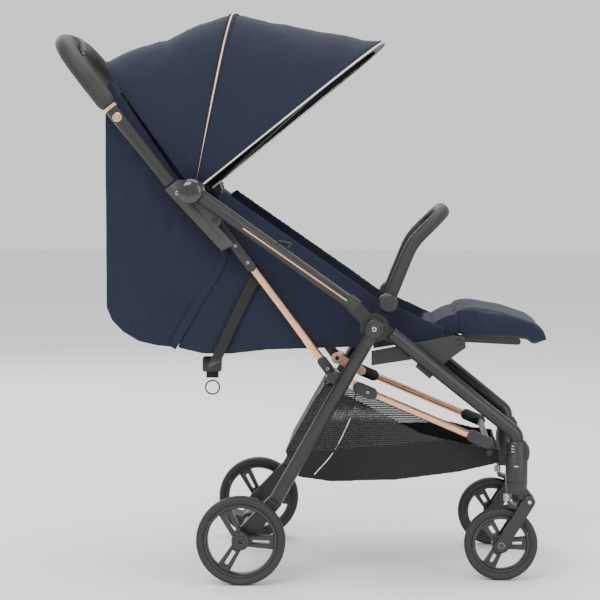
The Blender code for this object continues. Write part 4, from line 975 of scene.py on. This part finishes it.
def soft_goods():
    cloth_walls("seat_cloth", "seat_pad", "front_frame", NAVY, 0.0028,
                0.0016, 2.0)
    cloth_walls("bag_cloth", "rear_bag", "handle", NAVY, 0.0028,
                0.0035, 6.0)
    made = cloth_walls("basket_net_walls", "basket", "front_frame", NET, 0.0028,
                       0.0018, 9.0)
    made.data.materials.append(BASE_CLOTH.material)
    for face in made.data.polygons:
        level = 0.234 + 0.10 * max(0, face.center.x - 0.063)
        if face.center.z < level or abs(face.normal.y) < 0.4 and face.center.x < 0.06:
            face.material_index = 1
    line = Piece("basket_edge_line", "front_frame")
    for side in SIDES.values():
        places = ((0.104, 0.316), (0.066, 0.236), (0.027, 0.188))
        route = [xz(p, side * (CLOTH_HALF + 0.0004)) for p in places]
        line.tube(spline(route, 24), 0.0012, PIPING, sides=10)
        stud = [(0, 0), (0.0062, 0), (0.0058, side * 0.0016), (0.0026, side * 0.0020), (0, side * 0.0012)]
        line.lathe(stud, xz((0.352, 0.232), side * (CLOTH_HALF + 0.0002)), BLACK, steps=40)
    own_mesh(line.done())
    tape = Piece("bag_seam_tape", "handle")
    for side in SIDES.values():
        places = ((-0.238, 0.4250), (-0.190, 0.5080), (-0.141, 0.6000), (-0.150, 0.700))
        route = spline([xz(p, side * (CLOTH_HALF + 0.0026)) for p in places], 30)
        tape.ribbon(route, 0.016, 0.0016, NAVY, (0.87, 0, -0.49))
    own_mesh(tape.done())
    flap = Piece("legrest_flap", "front_frame")
    half = CLOTH_HALF - 0.006

    def edge(u):
        return 0.018 * math.sin(u * math.pi / 2)

    flap.sheet(8, 60, lambda u, v: Vector((0.246 + 0.046 * u, half * (2 * v - 1), 0.470 + edge(u))), NAVY)
    for side in SIDES.values():
        flap.sheet(8, 6, lambda u, v: Vector((0.246 + 0.046 * u, side * half,
                                              0.452 + (0.018 + edge(u)) * v)), NAVY)
    made = flap.done(wall=0.002, offset=0)
    made.parent = None
    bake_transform(made)
    pad = remeshed("legrest_cushion", "legrest_pad", 0.005)
    puffed(pad, 0.004)
    dressed(pad, "legrest", NAVY, "legrest_pad", levels=1)
    back = remeshed("back_cushion", "backrest", 0.005)
    puffed(back, 0.003)
    dressed(back, "backrest", NAVY, "backrest", levels=1)
    belt = Piece("harness_belts", "backrest")
    belt.copy("harness", WEBBING)
    belt.done("harness", edges=0.0005)


def strap():
    lo, hi = low("recline_strap"), high("recline_strap")
    half = hi.y - 0.0012
    piece = Piece("recline_webbing", "side_tubes")
    top, turn, foot = (-0.0765, 0.566), (-0.157, 0.400), (-0.176, 0.388)
    for side in SIDES.values():
        path = spline([xz(top, side * half), xz((-0.118, 0.484), side * half),
                       xz(turn, side * (half - 0.004)), xz((-0.170, 0.390), side * 0.075),
                       xz(foot, side * 0.012)], 40)
        piece.ribbon(path, 0.019, 0.0014, WEBBING, (0.9, 0, 0.42))
    piece.block((-0.194, -0.016, 0.366), (-0.158, 0.016, 0.394), BLACK, 0.003)
    piece.block((-0.188, -0.0010, lo.z + 0.001), (-0.164, 0.0010, 0.370), WEBBING, 0.0004)
    piece.done("recline_strap")
    ring = Piece("hanging_ring", "d_ring")
    centre = (low("d_ring") + high("d_ring")) / 2
    path = [centre + Vector((0.0134 * math.cos(a), 0, 0.0134 * math.sin(a)))
            for a in [math.tau * i / 48 for i in range(49)]]
    ring.tube(path, 0.0016, GLOSS, sides=12, close=False)
    ring.done("d_ring")


# ---- room and camera ----
def studio():
    mesh = bpy.data.meshes.new("floor")
    bm = bmesh.new()
    bmesh.ops.create_grid(bm, x_segments=1, y_segments=1, size=14)
    bm.to_mesh(mesh)
    bm.free()
    made = bpy.data.objects.new("floor", mesh)
    bpy.context.scene.collection.objects.link(made)
    pale = bpy.data.materials.new("floor")
    pale.use_nodes = True
    pale.node_tree.nodes["Principled BSDF"].inputs["Base Color"].default_value = (0.86, 0.86, 0.86, 1)
    pale.node_tree.nodes["Principled BSDF"].inputs["Roughness"].default_value = 0.9
    mesh.materials.append(pale)
    world = bpy.data.worlds.new("studio")
    bpy.context.scene.world = world
    world.use_nodes = True
    world.node_tree.nodes["Background"].inputs["Color"].default_value = (1, 1, 1, 1)
    world.node_tree.nodes["Background"].inputs["Strength"].default_value = 1.05
    for name, place, size, power, aim in (
            ("key", (-1.4, -3.0, 3.2), 2.2, 110, (0, 0, 0.5)),
            ("fill", (2.8, -2.6, 1.6), 2.4, 45, (0.1, 0, 0.5)),
            ("top", (0.2, 0.4, 3.4), 2.6, 70, (0, 0, 0.4)),
            ("back", (-1.6, 3.0, 2.2), 2.0, 50, (0, 0, 0.5))):
        lamp = bpy.data.lights.new(name, "AREA")
        lamp.size = size
        lamp.energy = power
        holder = bpy.data.objects.new(name, lamp)
        holder.location = place
        holder.rotation_mode = "QUATERNION"
        holder.rotation_quaternion = (Vector(aim) - Vector(place)).to_track_quat("-Z", "Y")
        bpy.context.scene.collection.objects.link(holder)


def camera():
    lens = bpy.data.cameras.new("camera")
    lens.lens = 114.8
    lens.sensor_width = 36
    holder = bpy.data.objects.new("camera", lens)
    holder.location = (0.173, -3.67, 0.758)
    holder.rotation_euler = (math.radians(90 - 3.95), 0, math.radians(2.8))
    bpy.context.scene.collection.objects.link(holder)
    bpy.context.scene.camera = holder


for word, side in SIDES.items():
    for end in ("front", "rear"):
        wheel(word, side, end)
    caster(word, side)
    side_frame(word, side)
cross_members()
handle()
bumper()
canopy()
canopy_trim()
soft_goods()
strap()
studio()
camera()
